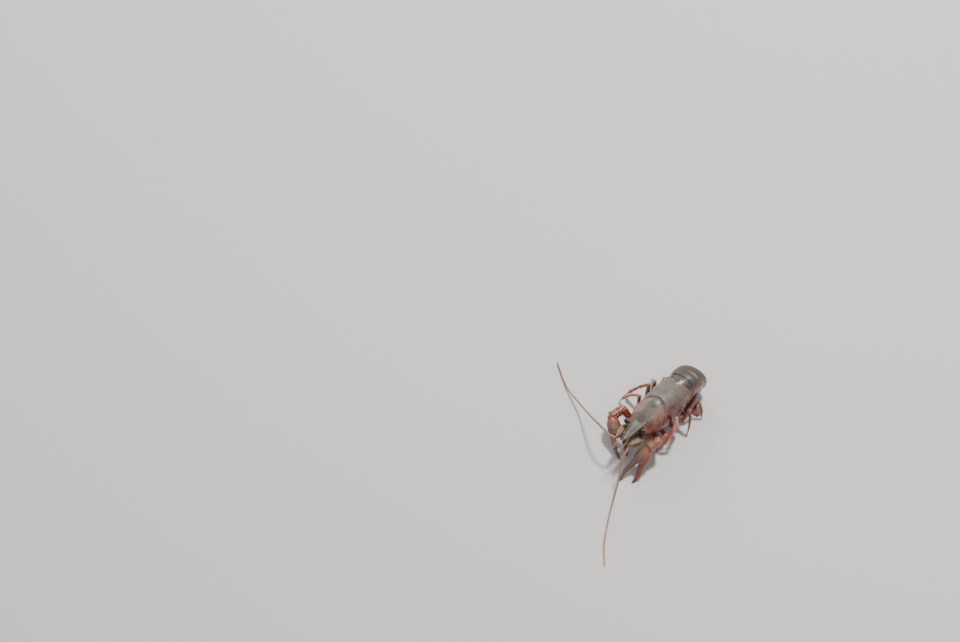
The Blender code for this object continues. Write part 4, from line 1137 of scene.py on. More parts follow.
def shell_forms():
    """All closed forms that fuse into the carapace."""
    count = round((-0.6 - FRONT_ROW) / SHELL_STEP)
    rows = [-0.3] + [-0.6 + (FRONT_ROW + 0.6) * k / count for k in range(count + 1)]
    rings = [recess_row(RIM_WALL + 0.3, -RECESS_DEPTH), recess_row(RIM_WALL), shell_row(0.0)]
    rings += [shell_row(row) for row in rows]
    rings += [face_row(0.09, 0.0), face_row(0.16, 0.5), face_row(0.2, FACE_DEPTH)]
    forms = [skin(rings), rostrum_form()]
    draw = random.Random(2)
    for side in SIDES.values():
        forms.append(ridge_form(side))
        spot, way = [mirrored(value, side) for value in ROSTRUM_SPINE]
        forms.append(spike(spot, way, 1.7, 0.42))
        for row, angle, way, length in SHELL_SPINES:
            forms.append(spike(shell_point(row, angle * side), mirrored(way, side), length, 0.7))
        for k in range(GROOVE_KNOBS):
            row = -15.2 - 0.25 * k + draw.uniform(-0.1, 0.1)
            spot = shell_point(row, (62 + 6.5 * k) * side)
            forms.append(knob(spot, mirrored((1, -0.5, 0.2), side), 0.35, 0.42))
        for _ in range(CHEEK_KNOBS):
            spot = shell_point(draw.uniform(-33.5, -27), draw.uniform(58, 100) * side)
            forms.append(knob(spot, mirrored((1, -0.7, 0.1), side), draw.uniform(0.2, 0.4), 0.4))
    return forms


# Limbs

def corner_room(before, after, thin, thick):
    """The room at a bend that keeps the rings beside it from crossing inside it."""
    size = max(thin * NECK_END, thick * NECK_START)
    return size * math.tan(before.angle(after) / 2) + GAP + 0.15


def limb_plates(points, sizes, up, sides, foot=False):
    """The rings of a jointed limb's plates, one plate for each length, and the limb's points."""
    points = [Vector(point) for point in points]
    steps = [(b - a).normalized() for a, b in zip(points, points[1:])]
    frame_up = Vector(up)
    plates = []
    for k, step in enumerate(steps):
        thick, thin, flat = sizes[k]
        start, length = points[k], (points[k + 1] - points[k]).length
        head = tail = 0.0
        if k:
            frame_up.rotate(steps[k - 1].rotation_difference(step))
            head = corner_room(steps[k - 1], step, sizes[k - 1][1], thick) * JOINT_ROOM
        if k < len(steps) - 1:
            tail = corner_room(step, steps[k + 1], thin, sizes[k + 1][0]) * JOINT_ROOM
        last = k == len(steps) - 1
        rings = []
        for share, swell in PLATE:
            half = (thick + (thin - thick) * share) * (1.0 if last and share > 0.5 else swell)
            spot = start + step * (head + (length - head - tail) * share)
            cut = -UP if foot and last and share == 1.0 else None
            rings.append(ring(spot, step, frame_up, half, half * flat, sides, cut))
        if foot and last:
            rings = [stand_clear(row) for row in rings]
        plates.append(refined(rings, LIMB_SPACING))
    return plates, points


def joint_ball(points, sizes, number):
    """The rounded skin between two plates that meet at a joint."""
    return ball(points[number], min(sizes[number - 1][1], sizes[number][0]) * 0.97)


def jointed_forms(points, sizes):
    """The closed forms of a short limb of three lengths: its plates and the skin between them."""
    plates, points = limb_plates(points, sizes, UP, LIMB_SIDES)
    return [skin(plate) for plate in plates] + [joint_ball(points, sizes, k) for k in (1, 2)]


def lower_leg(knee, bow, foot):
    """The wrist and toe joints of a walking leg, on a bowed line from knee to foot."""
    knee, bow, foot = Vector(knee), Vector(bow), Vector(foot)
    return [knee.lerp(foot, part) + bow * math.sin(math.pi * part) * 1.2 for part in (0.32, 0.72)]


def pincer_form(joint, foot, side):
    """The fixed finger of a small pincer: it bows away from the toe and meets it at the tip."""
    joint, foot = Vector(joint), Vector(foot)
    step = (foot - joint).normalized()
    across = step.cross(Vector((side, 0, 0.2))).normalized()
    root = joint - step * 1.1 + across * 0.4
    tip = foot - step * 0.7 + across * 0.5
    path = smooth_path([root, root.lerp(tip, 0.45) + across * 0.85, tip])
    rings = []
    for part, half in PINCER:
        centre, along = along_path(path, part)
        rings.append(stand_clear(ring(centre, along, UP, half, half, 14)))
    return skin(refined(rings, FORM_SPACING))


def leg_grain(point, normal):
    return noise.noise(point / 1.4) * 0.035 + 0.02 * grain(point, 0.45)


def leg_pieces(name, material):
    """The upper and lower piece of a walking leg, with joint skin between the plates."""
    hip_row, base, knee, bow, foot = LEGS[name]
    number, side = name[4], SIDES[name[-1]]
    size = LEG_SIZE[number]
    joints = lower_leg(knee, bow, foot)
    points = [((HIP - 0.6) * side, hip_row, HIP_HEIGHT), base, knee, *joints, foot]
    pincer = number in "23"
    sizes = [(thick * size, thin * size, flat)
             for thick, thin, flat in (LEG_PINCER if pincer else LEG_PLAIN)]
    plates, points = limb_plates(points, sizes, BACK, LIMB_SIDES, foot=True)
    balls = [joint_ball(points, sizes, k) for k in range(1, 5)]
    reach = (points[2] - points[1]).normalized()
    dome = ball(points[2] - reach * 0.55, sizes[1][1] * 0.93, 12, 20)
    upper = [skin(plates[0]), skin(plates[1]), balls[0], dome]
    lower = [skin(plates[2]), skin(plates[3]), skin(plates[4]), *balls[1:]]
    if pincer:
        lower.append(pincer_form(joints[1], foot, side))
    for part, forms in (("_upper", upper), ("_lower", lower)):
        mesh = relief_mesh(forms, LEG_VOXEL, leg_grain)
        mark_near(mesh, "joint", points[1:5], 1.15)
        mark_near(mesh, "tip", points[5:], 1.6)
        dress(name + part, mesh, material)


def claw_frame(letter):
    """The palm's direction, its outer side and its upper side."""
    wrist, palm_end, outer_tip, inner_tip = [Vector(p) for p in CLAW_LIMBS[letter][3:]]
    along = (palm_end - wrist).normalized()
    outward = (outer_tip - inner_tip).normalized()
    up = outward.cross(along) * SIDES[letter]
    up = (up if up.z > 0 else -up).normalized()
    outward = (outward - along * outward.dot(along)).normalized()
    return along, outward, up


def finger_rings(root, tip, along, outward, up, bow):
    """Rings and path of one finger of a claw, from the palm's end to a tip flat on the floor."""
    middle = root.lerp(tip, 0.55) + outward * bow
    path = smooth_path([root, root + along * 2.0 + outward * bow * 0.25, middle, tip])
    rings = []
    for part, half, tall in FINGER:
        centre, direction = along_path(path, part)
        if not part:
            direction = along
        cut = -UP if part == 1.0 else None
        rings.append(stand_clear(ring(centre, direction, up, half, tall, LIMB_SIDES, cut)))
    return refined(rings, LIMB_SPACING), path


def finger_teeth(path, outward, seed):
    """Rounded teeth along the biting edge of a finger, with a few large ones."""
    draw = random.Random(seed)
    widths = [(row[0], row[1]) for row in FINGER]
    forms = []
    for k in range(TEETH):
        part = 0.1 + 0.8 * k / (TEETH - 1)
        centre = along_path(path, part)[0]
        size = draw.uniform(0.2, 0.3) if k % 4 else draw.uniform(0.42, 0.56)
        size *= 1.15 - 0.5 * part
        root = centre - outward * (curve_value(widths, part) - 0.1)
        forms.append(knob(root, -outward, size, size * 0.9))
    return forms


def finger_ridges(path, outward, up, seed):
    """Small knobs in rows along the back of a finger; gives forms and their places."""
    draw = random.Random(seed)
    widths = [(row[0], row[1]) for row in FINGER]
    talls = [(row[0], row[2]) for row in FINGER]
    forms, spots = [], []
    for turn in FINGER_TURNS:
        for k in range(7):
            part = 0.05 + 0.1 * k + draw.uniform(-0.02, 0.02)
            centre = along_path(path, part)[0]
            angle = math.radians(turn + draw.uniform(-6, 6))
            away = (outward * curve_value(widths, part) * math.cos(angle)
                    + up * curve_value(talls, part) * math.sin(angle))
            size = draw.uniform(0.2, 0.32) * (1.1 - 0.5 * part)
            forms.append(knob(centre + away * 0.97, away, size * 0.8, size))
            spots.append(centre + away)
    return forms, spots


def palm_knobs(wrist, along, outward, up, length, seed):
    """Knobs in rows on the palm's upper side, largest along its inner edge; forms and places."""
    draw = random.Random(seed)
    count = bpy.context.scene.crayfish_sizes.knobs
    forms, spots = [], []
    for row, turn in enumerate(PALM_TURNS):
        for k in range(count):
            part = 0.22 + 0.74 * (k + 0.5 * (row % 2)) / count + draw.uniform(-0.03, 0.03)
            half = curve_value([(p, w) for p, w, h in PALM], part)
            tall = curve_value([(p, h) for p, w, h in PALM], part)
            angle = math.radians(turn + draw.uniform(-5, 5))
            away = outward * half * math.cos(angle) - up * tall * math.sin(angle)
            root = wrist + along * length * part + away * 0.97
            size = draw.uniform(0.42, 0.6) if row < 3 else draw.uniform(0.24, 0.42)
            forms.append(knob(root, away.normalized() + along * 0.45, size * 0.9, size))
            spots.append(root + away.normalized() * size * 0.6)
    return forms, spots


def plate_spines(rings, turns, shares, size, seed):
    """Spines on a plate: turns are places round it from 0 to 1. Gives forms and places."""
    draw = random.Random(seed)
    forms, spots = [], []
    for turn in turns:
        for share in shares:
            row = rings[round(share * (len(rings) - 1))]
            spot = row[round((turn + draw.uniform(-0.02, 0.02)) * len(row)) % len(row)]
            away = (spot - middle_of(row)).normalized()
            along = (middle_of(rings[-1]) - middle_of(rings[0])).normalized()
            high = size * draw.uniform(0.7, 1.2)
            forms.append(spike(spot - away * 0.1, away + along * 0.4, high, high * 0.5, 0.5))
            spots.append(spot + away * high * 0.5)
    return forms, spots


def claw_grain(point, normal):
    return noise.noise(point / 1.8) * 0.05 + 0.035 * grain(point, 0.42)


def claw_pieces(letter, material):
    """A claw limb: base, upper arm, wrist piece, palm with its fixed finger, moving finger."""
    hip, base, elbow, wrist, palm_end, outer_tip, inner_tip = [Vector(p) for p in CLAW_LIMBS[letter]]
    along, outward, up = claw_frame(letter)
    inner_hip = hip - LEFT * SIDES[letter] * 0.7
    limb = [inner_hip, base, elbow, wrist, palm_end]
    plates, points = limb_plates(limb, CLAW_SIZES, up, LIMB_SIDES)
    balls = [joint_ball(points, CLAW_SIZES, k) for k in range(1, 4)]
    arm_spines, arm_spots = plate_spines(plates[1], *ARM_SPINES, 11)
    wrist_spines, wrist_spots = plate_spines(plates[2], *WRIST_SPINES, 12)

    length = (palm_end - wrist).length
    rings = [ring(wrist - along * 0.6, along, up, 1.6, 1.6, LIMB_SIDES)]
    for part, half, tall in PALM:
        rings.append(ring(wrist + along * part * length, along, up, half, tall, LIMB_SIDES))
    rings.append(ring(palm_end + along * 0.5, along, up, 3.9, 2.2, LIMB_SIDES))
    start = palm_end + outward * FINGER_APART
    fixed, fixed_path = finger_rings(start, outer_tip, along, outward, up, OUTER_BOW)
    start = palm_end - along * 0.6 - outward * FINGER_APART
    moving, moving_path = finger_rings(start, inner_tip, along, outward, up, INNER_BOW)
    knobs, knob_spots = palm_knobs(wrist, along, outward, up, length, 5)
    fixed_knobs, fixed_spots = finger_ridges(fixed_path, outward, up, 21)
    moving_knobs, moving_spots = finger_ridges(moving_path, -outward, up, 22)

    palm = [skin(refined(rings, PALM_SPACING)), skin(fixed), *knobs, *fixed_knobs]
    palm += finger_teeth(fixed_path, outward, 3)
    moving = [skin(moving), *moving_knobs, *finger_teeth(moving_path, -outward, 4)]
    parts = (("base", [skin(plates[0])], []),
             ("arm", [skin(plates[1]), balls[0], *arm_spines], arm_spots),
             ("wrist", [skin(plates[2]), balls[1], *wrist_spines], wrist_spots),
             ("palm", [*palm, balls[2]], knob_spots + fixed_spots),
             ("finger", moving, moving_spots))
    reach = (wrist - elbow).normalized()
    beside = reach.cross(UP).normalized()

    def wrist_relief(point, normal):
        """A furrow along the top of the wrist piece."""
        share = (point - elbow).dot(reach) / (wrist - elbow).length
        depth = eased_step(share, 0.1, 0.35) * eased_step(share, 0.95, 0.7)
        depth *= eased_step(normal[2], 0.2, 0.6)
        aside = (point - elbow).dot(beside)
        return claw_grain(point, normal) - 0.42 * depth * math.exp(-(aside / 0.8) ** 2)

    for part, forms, spots in parts:
        mesh = relief_mesh(forms, CLAW_VOXEL, wrist_relief if part == "wrist" else claw_grain)
        mark_near(mesh, "knob", spots or [NOWHERE], 0.33)
        mark_near(mesh, "joint", points[1:4] + [moving_path[0]], 1.8)
        mark_near(mesh, "tip", [outer_tip, inner_tip], 1.8)
        mark_near(mesh, "arm", [hip, base, elbow, elbow.lerp(wrist, 0.5), wrist], 3.6)
        aside = (mesh_points(mesh) - np.array(wrist)) @ np.array(outward) * SIDES[letter]
        set_mask(mesh, "side", np.clip((aside - 1.2) / 1.6, 0, 1))
        dress(f"claw_{part}_{letter}", mesh, material)


# Head

def eye_pieces(letter, eye_material, stalk_material):
    """A cupped stalk and the round eye in it."""
    side = SIDES[letter]
    place, base = mirrored(EYE_PLACE, side), mirrored(STALK_ROOT, side)
    step = (place - base).normalized()
    reach = (place - base).length
    profile = ((0.0, 1.15), (reach * 0.35, 0.95), (reach * 0.6, 1.1), (reach - 0.8, 1.5),
               (reach - 0.2, 1.76), (reach + 0.25, 1.72), (reach + 0.5, 1.5))
    rings = [ring(base + step * at, step, UP, half, half, LIMB_SIDES) for at, half in profile]
    mesh = relief_mesh([skin(refined(rings, STALK_SPACING))], LEG_VOXEL)
    dress("eye_stalk_" + letter, mesh, stalk_material)
    eye = raw_mesh([ball(place, EYE_RADIUS, EYE_ROWS, EYE_SIDES, step, UP)])
    dress("eye_" + letter, eye, eye_material)


def lash_form(path, root, tip, ring_length, sides=12):
    """A lash of many short rings, each a little thicker toward its far end."""
    count = max(4, round(path_length(path) / ring_length))
    rings = []
    for k in range(count):
        for share, swell in ((0.0, 0.93), (0.5, 1.0), (0.9, 1.06)):
            part = (k + share) / count
            half = (root + (tip - root) * part ** 0.7) * swell
            centre, along = along_path(path, part)
            rings.append(ring(centre, along, UP, half, half, sides))
    return skin(rings + [[path[-1]]])


def tapered_form(path, profile, up, sides):
    """A closed form along a smooth path; profile gives (part, half width, half height)."""
    rings = []
    for part, half, tall in profile:
        centre, along = along_path(path, part)
        rings.append(ring(centre, along, up, half, tall, sides))
    return skin(refined(rings, FORM_SPACING))


def feeler_pieces(letter, material):
    """Antennule, and the root, lash and scale of the long feeler, of one side."""
    side = SIDES[letter]
    ring_length = bpy.context.scene.crayfish_sizes.lash_ring / MM
    start, fork, tip, low_tip = [mirrored(point, side) for point in ANTENNULE]
    outer = smooth_path([start + BACK * 1.5, fork, tip])
    forms = [tapered_form(outer, ANTENNULE_STEM, UP, 16)]
    root = along_path(outer, 0.3)[0]
    bend = root.lerp(tip, 0.5)
    upper = smooth_path([root, bend + mirrored((0.9, 0, 0.7), side), tip])
    low_root = root + BACK * 0.5 - UP * 0.3
    lower = smooth_path([low_root, bend + mirrored((0.3, 0, -1.4), side), low_tip])
    whips = [lash_form(upper, 0.42, 0.12, 0.4, 10), lash_form(lower, 0.36, 0.12, 0.4, 10)]
    mesh = raw_mesh(forms + whips)
    mark_heights(mesh, 6)
    dress("antennule_" + letter, mesh, material)

    lash = smooth_path(FEELERS[letter], 24)
    points = [mirrored(point, side) for point in FEELER_STEM] + [lash[0]]
    forms = jointed_forms(points, FEELER_SIZES)
    root = points[1] + mirrored((1.2, -0.6, -0.2), side)
    forms.append(spike(root, mirrored((0.3, -1, 0), side), 1.2, 0.4))
    dress("antenna_root_" + letter, relief_mesh(forms, LEG_VOXEL, leg_grain), material)

    names = [f"antenna_{n + 1}_{letter}" for n in range(FEELER_LENGTHS)]
    mesh = raw_mesh([lash_form(lash, FEELER_ROOT, FEELER_TIP, ring_length)])
    mark_heights(mesh, 6, 0.08)
    add_piece(f"antenna_lash_{letter}", mesh, material, names)

    path = smooth_path([mirrored(point, side) for point in SCALE_WAY])
    mesh = raw_mesh([blade_form(path, SCALE_OUTLINE, LEAF_THICKNESS, 40, 17)])
    mark_heights(mesh, 8, 0.1)
    dress("antenna_scale_" + letter, mesh, material)


def mouth_pieces(letter, material):
    """The mouth leg, folded forward under the face."""
    side = SIDES[letter]
    points = [mirrored(point, side) for point in MOUTH_LEG]
    points[0] = points[0] + BACK * 1.5
    mesh = relief_mesh(jointed_forms(points, MOUTH_SIZES), LEG_VOXEL, leg_grain)
    dress("maxilliped_" + letter, mesh, material)


def face_relief(point, normal):
    """Creases that part the face into plates, and a groove down its middle."""
    middle = -0.45 * math.exp(-(point.x / 0.28) ** 2)
    upper = -0.35 * math.exp(-((point.z - 16.6 + 0.25 * abs(point.x)) / 0.24) ** 2)
    lower = -0.3 * math.exp(-((point.z - 14.3 - 0.2 * abs(point.x)) / 0.24) ** 2)
    return middle + upper + lower + 0.05 * grain(point, 0.6) + noise.noise(point / 1.1) * 0.06


def face_piece(material):
    """The face under the beak, with a small point in front and a knob low on each side."""
    rings = [ring(Vector((0, y, z)), -BACK, UP, half, tall, 32) for y, half, tall, z in FACE]
    forms = [skin(refined(rings, FORM_SPACING))]
    forms.append(spike(Vector((0, -41.2, 16.6)), Vector((0, -1, 0.4)), 1.2, 0.6))
    for side in SIDES.values():
        forms.append(ball(Vector((1.9 * side, -39.4, 14.4)), 1.0))
    dress("epistome", relief_mesh(forms, LEG_VOXEL, face_relief), material)


def jaws_piece(material):
    """The upper lip, the two toothed jaws and their feelers, between the face and the mouth legs."""
    forms = [ball(Vector((0, -36.4, 12.1)), 1.1)]
    for side in SIDES.values():
        jaw = smooth_path([mirrored(point, side) for point in JAW])
        forms.append(tapered_form(jaw, JAW_PROFILE, UP, 20))
        palp = smooth_path([mirrored(point, side) for point in JAW_FEELER])
        forms.append(tapered_form(palp, JAW_FEELER_PROFILE, UP, 14))
        for k in range(4):
            spot = mirrored((0.45, -37.2 + 0.1 * k, 9.6 + 0.55 * k), side)
            forms.append(knob(spot, mirrored((-1, -0.4, 0), side), 0.35, 0.28))
    add_piece("jaws", relief_mesh(forms, LEG_VOXEL, leg_grain), material)


def sternum_piece(material):
    """The chest's floor, grooved between the legs."""
    rows = [(-33.0, 3.2, 5.2, 8.8), (-31.0, 4.6, 4.6, 8.9), (-29.2, STERNUM_HALF, STERNUM_FLOOR, 9.0),
            (-27.5, STERNUM_HALF, STERNUM_FLOOR, 9.3)]
    for seam in STERNUM_SEAMS:
        for step, depth in ((-1.0, 0.0), (0.0, SEAM_DEPTH), (1.0, 0.0)):
            rows.append((seam + step, STERNUM_HALF, STERNUM_FLOOR + depth, STERNUM_TOP))
    rows += [(-4.6, STERNUM_HALF, STERNUM_FLOOR, STERNUM_TOP), (-2.2, 5.0, 5.0, STERNUM_TOP),
             (-1.8, 4.6, 5.6, 10.6), (1.6, 3.6, 8.6, 10.8)]
    rings = []
    for y, half, low, high in rows:
        outline = ((half, high), (half, low + 0.8), (half * 0.85, low + 0.2), (half * 0.6, low),
                   (half * 0.3, low + 0.3), (half * 0.1, low + 0.8), (-half * 0.1, low + 0.8),
                   (-half * 0.3, low + 0.3), (-half * 0.6, low), (-half * 0.85, low + 0.2),
                   (-half, low + 0.8), (-half, high))
        rings.append([Vector((x, y, z)) for x, z in outline])
    dress("sternum", relief_mesh([skin(rings)], STERNUM_VOXEL, leg_grain), material)


# Tail

def tail_place(place):
    """The point on the back's line, its way along and its way in, at a place from 0 to 6."""
    turn = math.radians(curve_value(list(enumerate(TAIL_PLACES)), place))
    tilt = math.radians(curve_value(list(enumerate(TAIL_TILTS)), place))
    rise = TAIL_RISE if math.cos(turn) > 0 else TAIL_DROP
    point = Vector((0, TAIL_MIDDLE[0] + TAIL_REACH * math.sin(turn),
                    TAIL_MIDDLE[1] + rise * math.cos(turn)))
    along = Vector((0, math.cos(tilt), -math.sin(tilt)))
    inward = Vector((0, -math.sin(tilt), -math.cos(tilt)))
    return point, along, inward


def tail_ring(place, rise, lobe, shift):
    """One ring of the tail: a domed back, side lobes that hang down, and a flat belly."""
    point, along, inward = tail_place(place)
    half = curve_value(TAIL_HALF, place) + rise
    body = curve_value(TAIL_BODY, place)
    centre = point - inward * rise + along * shift
    dome = DOME_PART * body
    points = []
    for k in range(TAIL_ARCH + 1):
        turn = math.pi * (0.5 - k / TAIL_ARCH)
        drop = dome * (1 - math.cos(turn))
        points.append(centre + LEFT * half * math.sin(turn) + inward * drop)
    tip = half * 0.94
    under = ((-tip, lobe), (-tip + 1.0, lobe), (-tip + 1.7, body), (tip - 1.7, body),
             (tip - 1.0, lobe), (tip, lobe))
    return points + [centre + LEFT * x + inward * (depth + rise) for x, depth in under]


def tail_grain(point, normal):
    return noise.noise(point / 2.8) * 0.07 - 0.05 * grain(point, 0.8)


def tail_row(number, part):
    """The row of points round one of the tail's rings, at a part of its length from 0 to 1.03."""
    place = min(number - 1 + part, 6.0)
    rise = curve_value(TAIL_ROWS, part)
    body = curve_value(TAIL_BODY, place)
    arch = math.sin(math.pi * min(part, 1.0)) ** 0.6 if part < 1 else 0.0
    lobe = body + 0.2 + (TAIL_LOBE[number - 1] - body) * arch
    if number == 1:
        rise = min(rise, 0.0) * eased_step(part, 0.0, 0.2) * 0.2
    return tail_ring(place, rise, lobe, GAP / 2 if not part else 0.0)


def tail_piece(number, material):
    """One of the tail's six rings, with a rim on its hind edge that lies over the next ring."""
    rings = []
    hind = []
    for part in [k / TAIL_STEPS * 1.03 for k in range(TAIL_STEPS + 1)]:
        rings.append(tail_row(number, part))
        if 0.93 < part < 1.02:
            hind += rings[-1][:TAIL_ARCH + 1]
    mesh = relief_mesh([skin(rings)], TAIL_VOXEL, tail_grain, 2)
    mark_near(mesh, "edge", hind, 0.35)
    dress(f"abdomen_{number}", mesh, material)


def blade_form(path, outline, thickness, rows, columns):
    """A finely ribbed vane along a path; outline gives (part of length, half width)."""
    made = []
    for r in range(rows + 1):
        part = r / rows
        half = curve_value(outline, part)
        centre, along = along_path(path, part)
        side = along.cross(UP).normalized()
        top = side.cross(along)
        row = []
        for c in range(columns):
            across = 2 * c / (columns - 1) - 1
            fade = 1 - part * 0.6
            rise = BLADE_RIB * math.exp(-(across / 0.16) ** 2) * fade
            rise += 0.5 * BLADE_RIB * math.exp(-((abs(across) - 0.62) / 0.1) ** 2) * fade
            rise += 0.06 * math.cos(across * 34) * eased_step(part, 0.35, 0.8)
            half_thick = thickness / 2 * (1 - 0.6 * abs(across) ** 3) * (1 - 0.35 * part)
            middle = centre + side * half * across
            row.append((middle + top * (half_thick + rise), middle - top * half_thick))
        made.append(row)
    return vane(made)


def fan_path(root, way):
    """The way of a fan blade, from the last ring's end along the floor."""
    point, along, inward = tail_place(6)
    start = point + along * (GAP * 0.6) + LEFT * root[0] + inward * root[1]
    return smooth_path([start, start + along * 1.2, *[Vector(p) for p in way]], 8)


def fan_blades():
    """Name, path, outline and thickness of each blade."""
    blades = [("telson", fan_path((0, 1.0), TELSON_WAY), TELSON, TELSON_THICKNESS)]
    for letter, side in SIDES.items():
        inner = [mirrored(point, side) for point in INNER_WAY]
        outer = [mirrored(point, side) for point in OUTER_WAY]
        for name, root, way in (("uropod_inner_", (3.6 * side, 4.1), inner),
                                ("uropod_outer_", (5.2 * side, 1.3), outer)):
            blades.append((name + letter, fan_path(root, way), LEAF, LEAF_THICKNESS))
    return blades


def fan_piece(name, path, outline, thickness, material):
    """One blade of the tail fan; the telson has two points and an outer blade a row of them."""
    points, faces = blade_form(path, outline, thickness, 56, 41)
    forms = [(stand_clear(points), faces)]
    edge = []
    for k in range(40):
        part = k / 39
        centre, along = along_path(path, part)
        side = along.cross(UP).normalized()
        half = curve_value(outline, part)
        edge += [centre + side * half, centre - side * half]
    edge.append(path[-1])
    if "inner" not in name:
        share = 0.62 if name == "telson" else 0.66
        centre, along = along_path(path, share)
        side = along.cross(UP).normalized()
        half = curve_value(outline, share)
        reach = (-0.98, 0.98) if name == "telson" else [-0.9 + 0.2 * k for k in range(10)]
        for across in reach:
            spot = centre + side * half * across + UP * 0.22
            forms.append(spike(spot, along + UP * 0.05, 0.8, 0.22, 0.4))
    mesh = raw_mesh(forms)
    mark_heights(mesh, 10, 0.1)
    mark_near(mesh, "edge", edge, 0.4)
    dress(name, mesh, material)


def swimmeret_piece(number, material):
    """A pair of small paddles under a tail ring, each with two leaves."""
    point, along, inward = tail_place(number - 0.45)
    body = curve_value(TAIL_BODY, number - 0.45)
    forms = []
    for side in SIDES.values():
        root = point + inward * (body - 0.3) + LEFT * side * 4.2
        bend = root + inward * 1.8 + LEFT * side * 0.2 + along * 0.2
        forms.append(tapered_form(smooth_path([root, bend]), SWIMMERET_STEM, along, 14))
        for lean in (-0.5, 0.5):
            tip = bend + inward * 2.2 + LEFT * side * lean * 1.7 - along * 0.9
            leaf = smooth_path([bend - inward * 0.3, bend.lerp(tip, 0.5), tip])
            forms.append(tapered_form(leaf, SWIMMERET_LEAF, along, 14))
    add_piece(f"swimmerets_{number}", relief_mesh(forms, LEG_VOXEL), material)


# Bristles

def bristle_forms(roots, draw, width):
    """Bent three-sided bristles; each root is (point, way, length, (u, v) on its part's unwrap)."""
    points, faces, patches = [], [], []
    for root, way, length, patch in roots:
        way = (way.normalized() + Vector([draw.uniform(-0.18, 0.18) for _ in range(3)])).normalized()
        across = UP if abs(way.z) < 0.9 else BACK
        droop = Vector([draw.uniform(-0.12, 0.12) for _ in range(3)])
        rings = [ring(root - way * 0.15, way, across, width, width, 3),
                 ring(root + way * length * 0.55, way, across, width * 0.7, width * 0.7, 3),
                 [root + (way + droop) * length]]
        rings[-1][0].z = max(rings[-1][0].z, 0.02)
        form_points, form_faces = skin(rings)
        start = len(points)
        points += form_points
        faces += [tuple(start + index for index in face) for face in form_faces]
        patches += [patch] * len(form_points)
    return points, faces, patches


def bristle_piece(name, roots, material, seed):
    """Join bristles into one piece, with a small patch on its bake map for each."""
    draw = random.Random(seed)
    width = bpy.context.scene.crayfish_sizes.bristle_width / MM / 2
    points, faces, patches = bristle_forms(roots, draw, width)
    mesh = raw_mesh([(points, faces)])
    layer = mesh.uv_layers.new(name="OFBake")
    for loop in mesh.loops:
        u, v = patches[loop.vertex_index]
        shift = BRISTLE_PATCH[loop.vertex_index % len(BRISTLE_PATCH)]
        layer.data[loop.index].uv = (0.01 + 0.97 * u + shift[0], 0.01 + 0.97 * v + shift[1])
    add_piece(name, mesh, material)


def fan_bristles():
    """Roots of the fringe round the free end of each fan blade."""
    draw = random.Random(31)
    length = bpy.context.scene.crayfish_sizes.bristle / MM
    roots = []
    blades = fan_blades()
    for index, (_, path, outline, _) in enumerate(blades):
        for k in range(BLADE_BRISTLES):
            share = k / (BLADE_BRISTLES - 1)
            turn = (share - 0.5) * 2
            part = 1 - 0.62 * abs(turn) ** 1.6
            half = curve_value(outline, part)
            centre, along = along_path(path, part)
            side = along.cross(UP).normalized()
            across = (1 if turn > 0 else -1) * min(1.0, abs(turn) * 3.2)
            root = centre + side * half * across * 0.97
            root.z = max(root.z + draw.uniform(-0.1, 0.15), 0.12)
            way = along * (1 - 0.6 * abs(turn)) + side * across * 0.8
            patch = ((index + 0.1 + 0.8 * (0.5 + across / 2)) / len(blades), part)
            roots.append((root, way, length * draw.uniform(0.65, 1.1), patch))
    return roots


def tail_bristles():
    """Roots of the short fringe along the lower edge of each tail ring's side lobes."""
    draw = random.Random(35)
    roots = []
    for number in range(1, 7):
        for k in range(LOBE_BRISTLES):
            part = 0.3 + 0.62 * k / (LOBE_BRISTLES - 1) + draw.uniform(-0.005, 0.005)
            row = tail_row(number, part)
            along, inward = tail_place(min(number - 1 + part, 6.0))[1:]
            for index, spot in enumerate((row[-1], row[TAIL_ARCH + 1])):
                side = 1 - 2 * index
                root = spot - inward * 0.1 - LEFT * side * 0.15
                root.z = max(root.z, 0.1)
                patch = ((number - 1 + 0.1 + 0.7 * index) / 6, part * 0.9)
                way = inward + along * 0.45 + LEFT * side * 0.15
                roots.append((root, way, draw.uniform(0.35, 0.65), patch))
    return roots


def leg_bristles():
    """Roots of the short bristles on toes and lower legs."""
    draw = random.Random(32)
    roots = []
    for index, (name, limb) in enumerate(LEGS.items()):
        knee, bow, foot = limb[2:]
        size = LEG_SIZE[name[4]]
        points = [Vector(knee), *lower_leg(knee, bow, foot), Vector(foot)]
        for _ in range(LEG_BRISTLES):
            part = draw.uniform(0.3, 0.97) ** 0.8
            centre, along = along_path(points, part)
            half = size * (0.9 - 0.75 * max(0.0, part - 0.35))
            angle = draw.uniform(0, 2 * math.pi)
            side = along.cross(BACK).normalized()
            away = side * math.cos(angle) + side.cross(along) * math.sin(angle)
            root = centre + away * half * 0.88
            root.z = max(root.z, 0.1)
            patch = ((index + angle / 6.4) / len(LEGS), part)
            roots.append((root, away * 0.5 + along * 0.85, draw.uniform(0.25, 0.55), patch))
    return roots


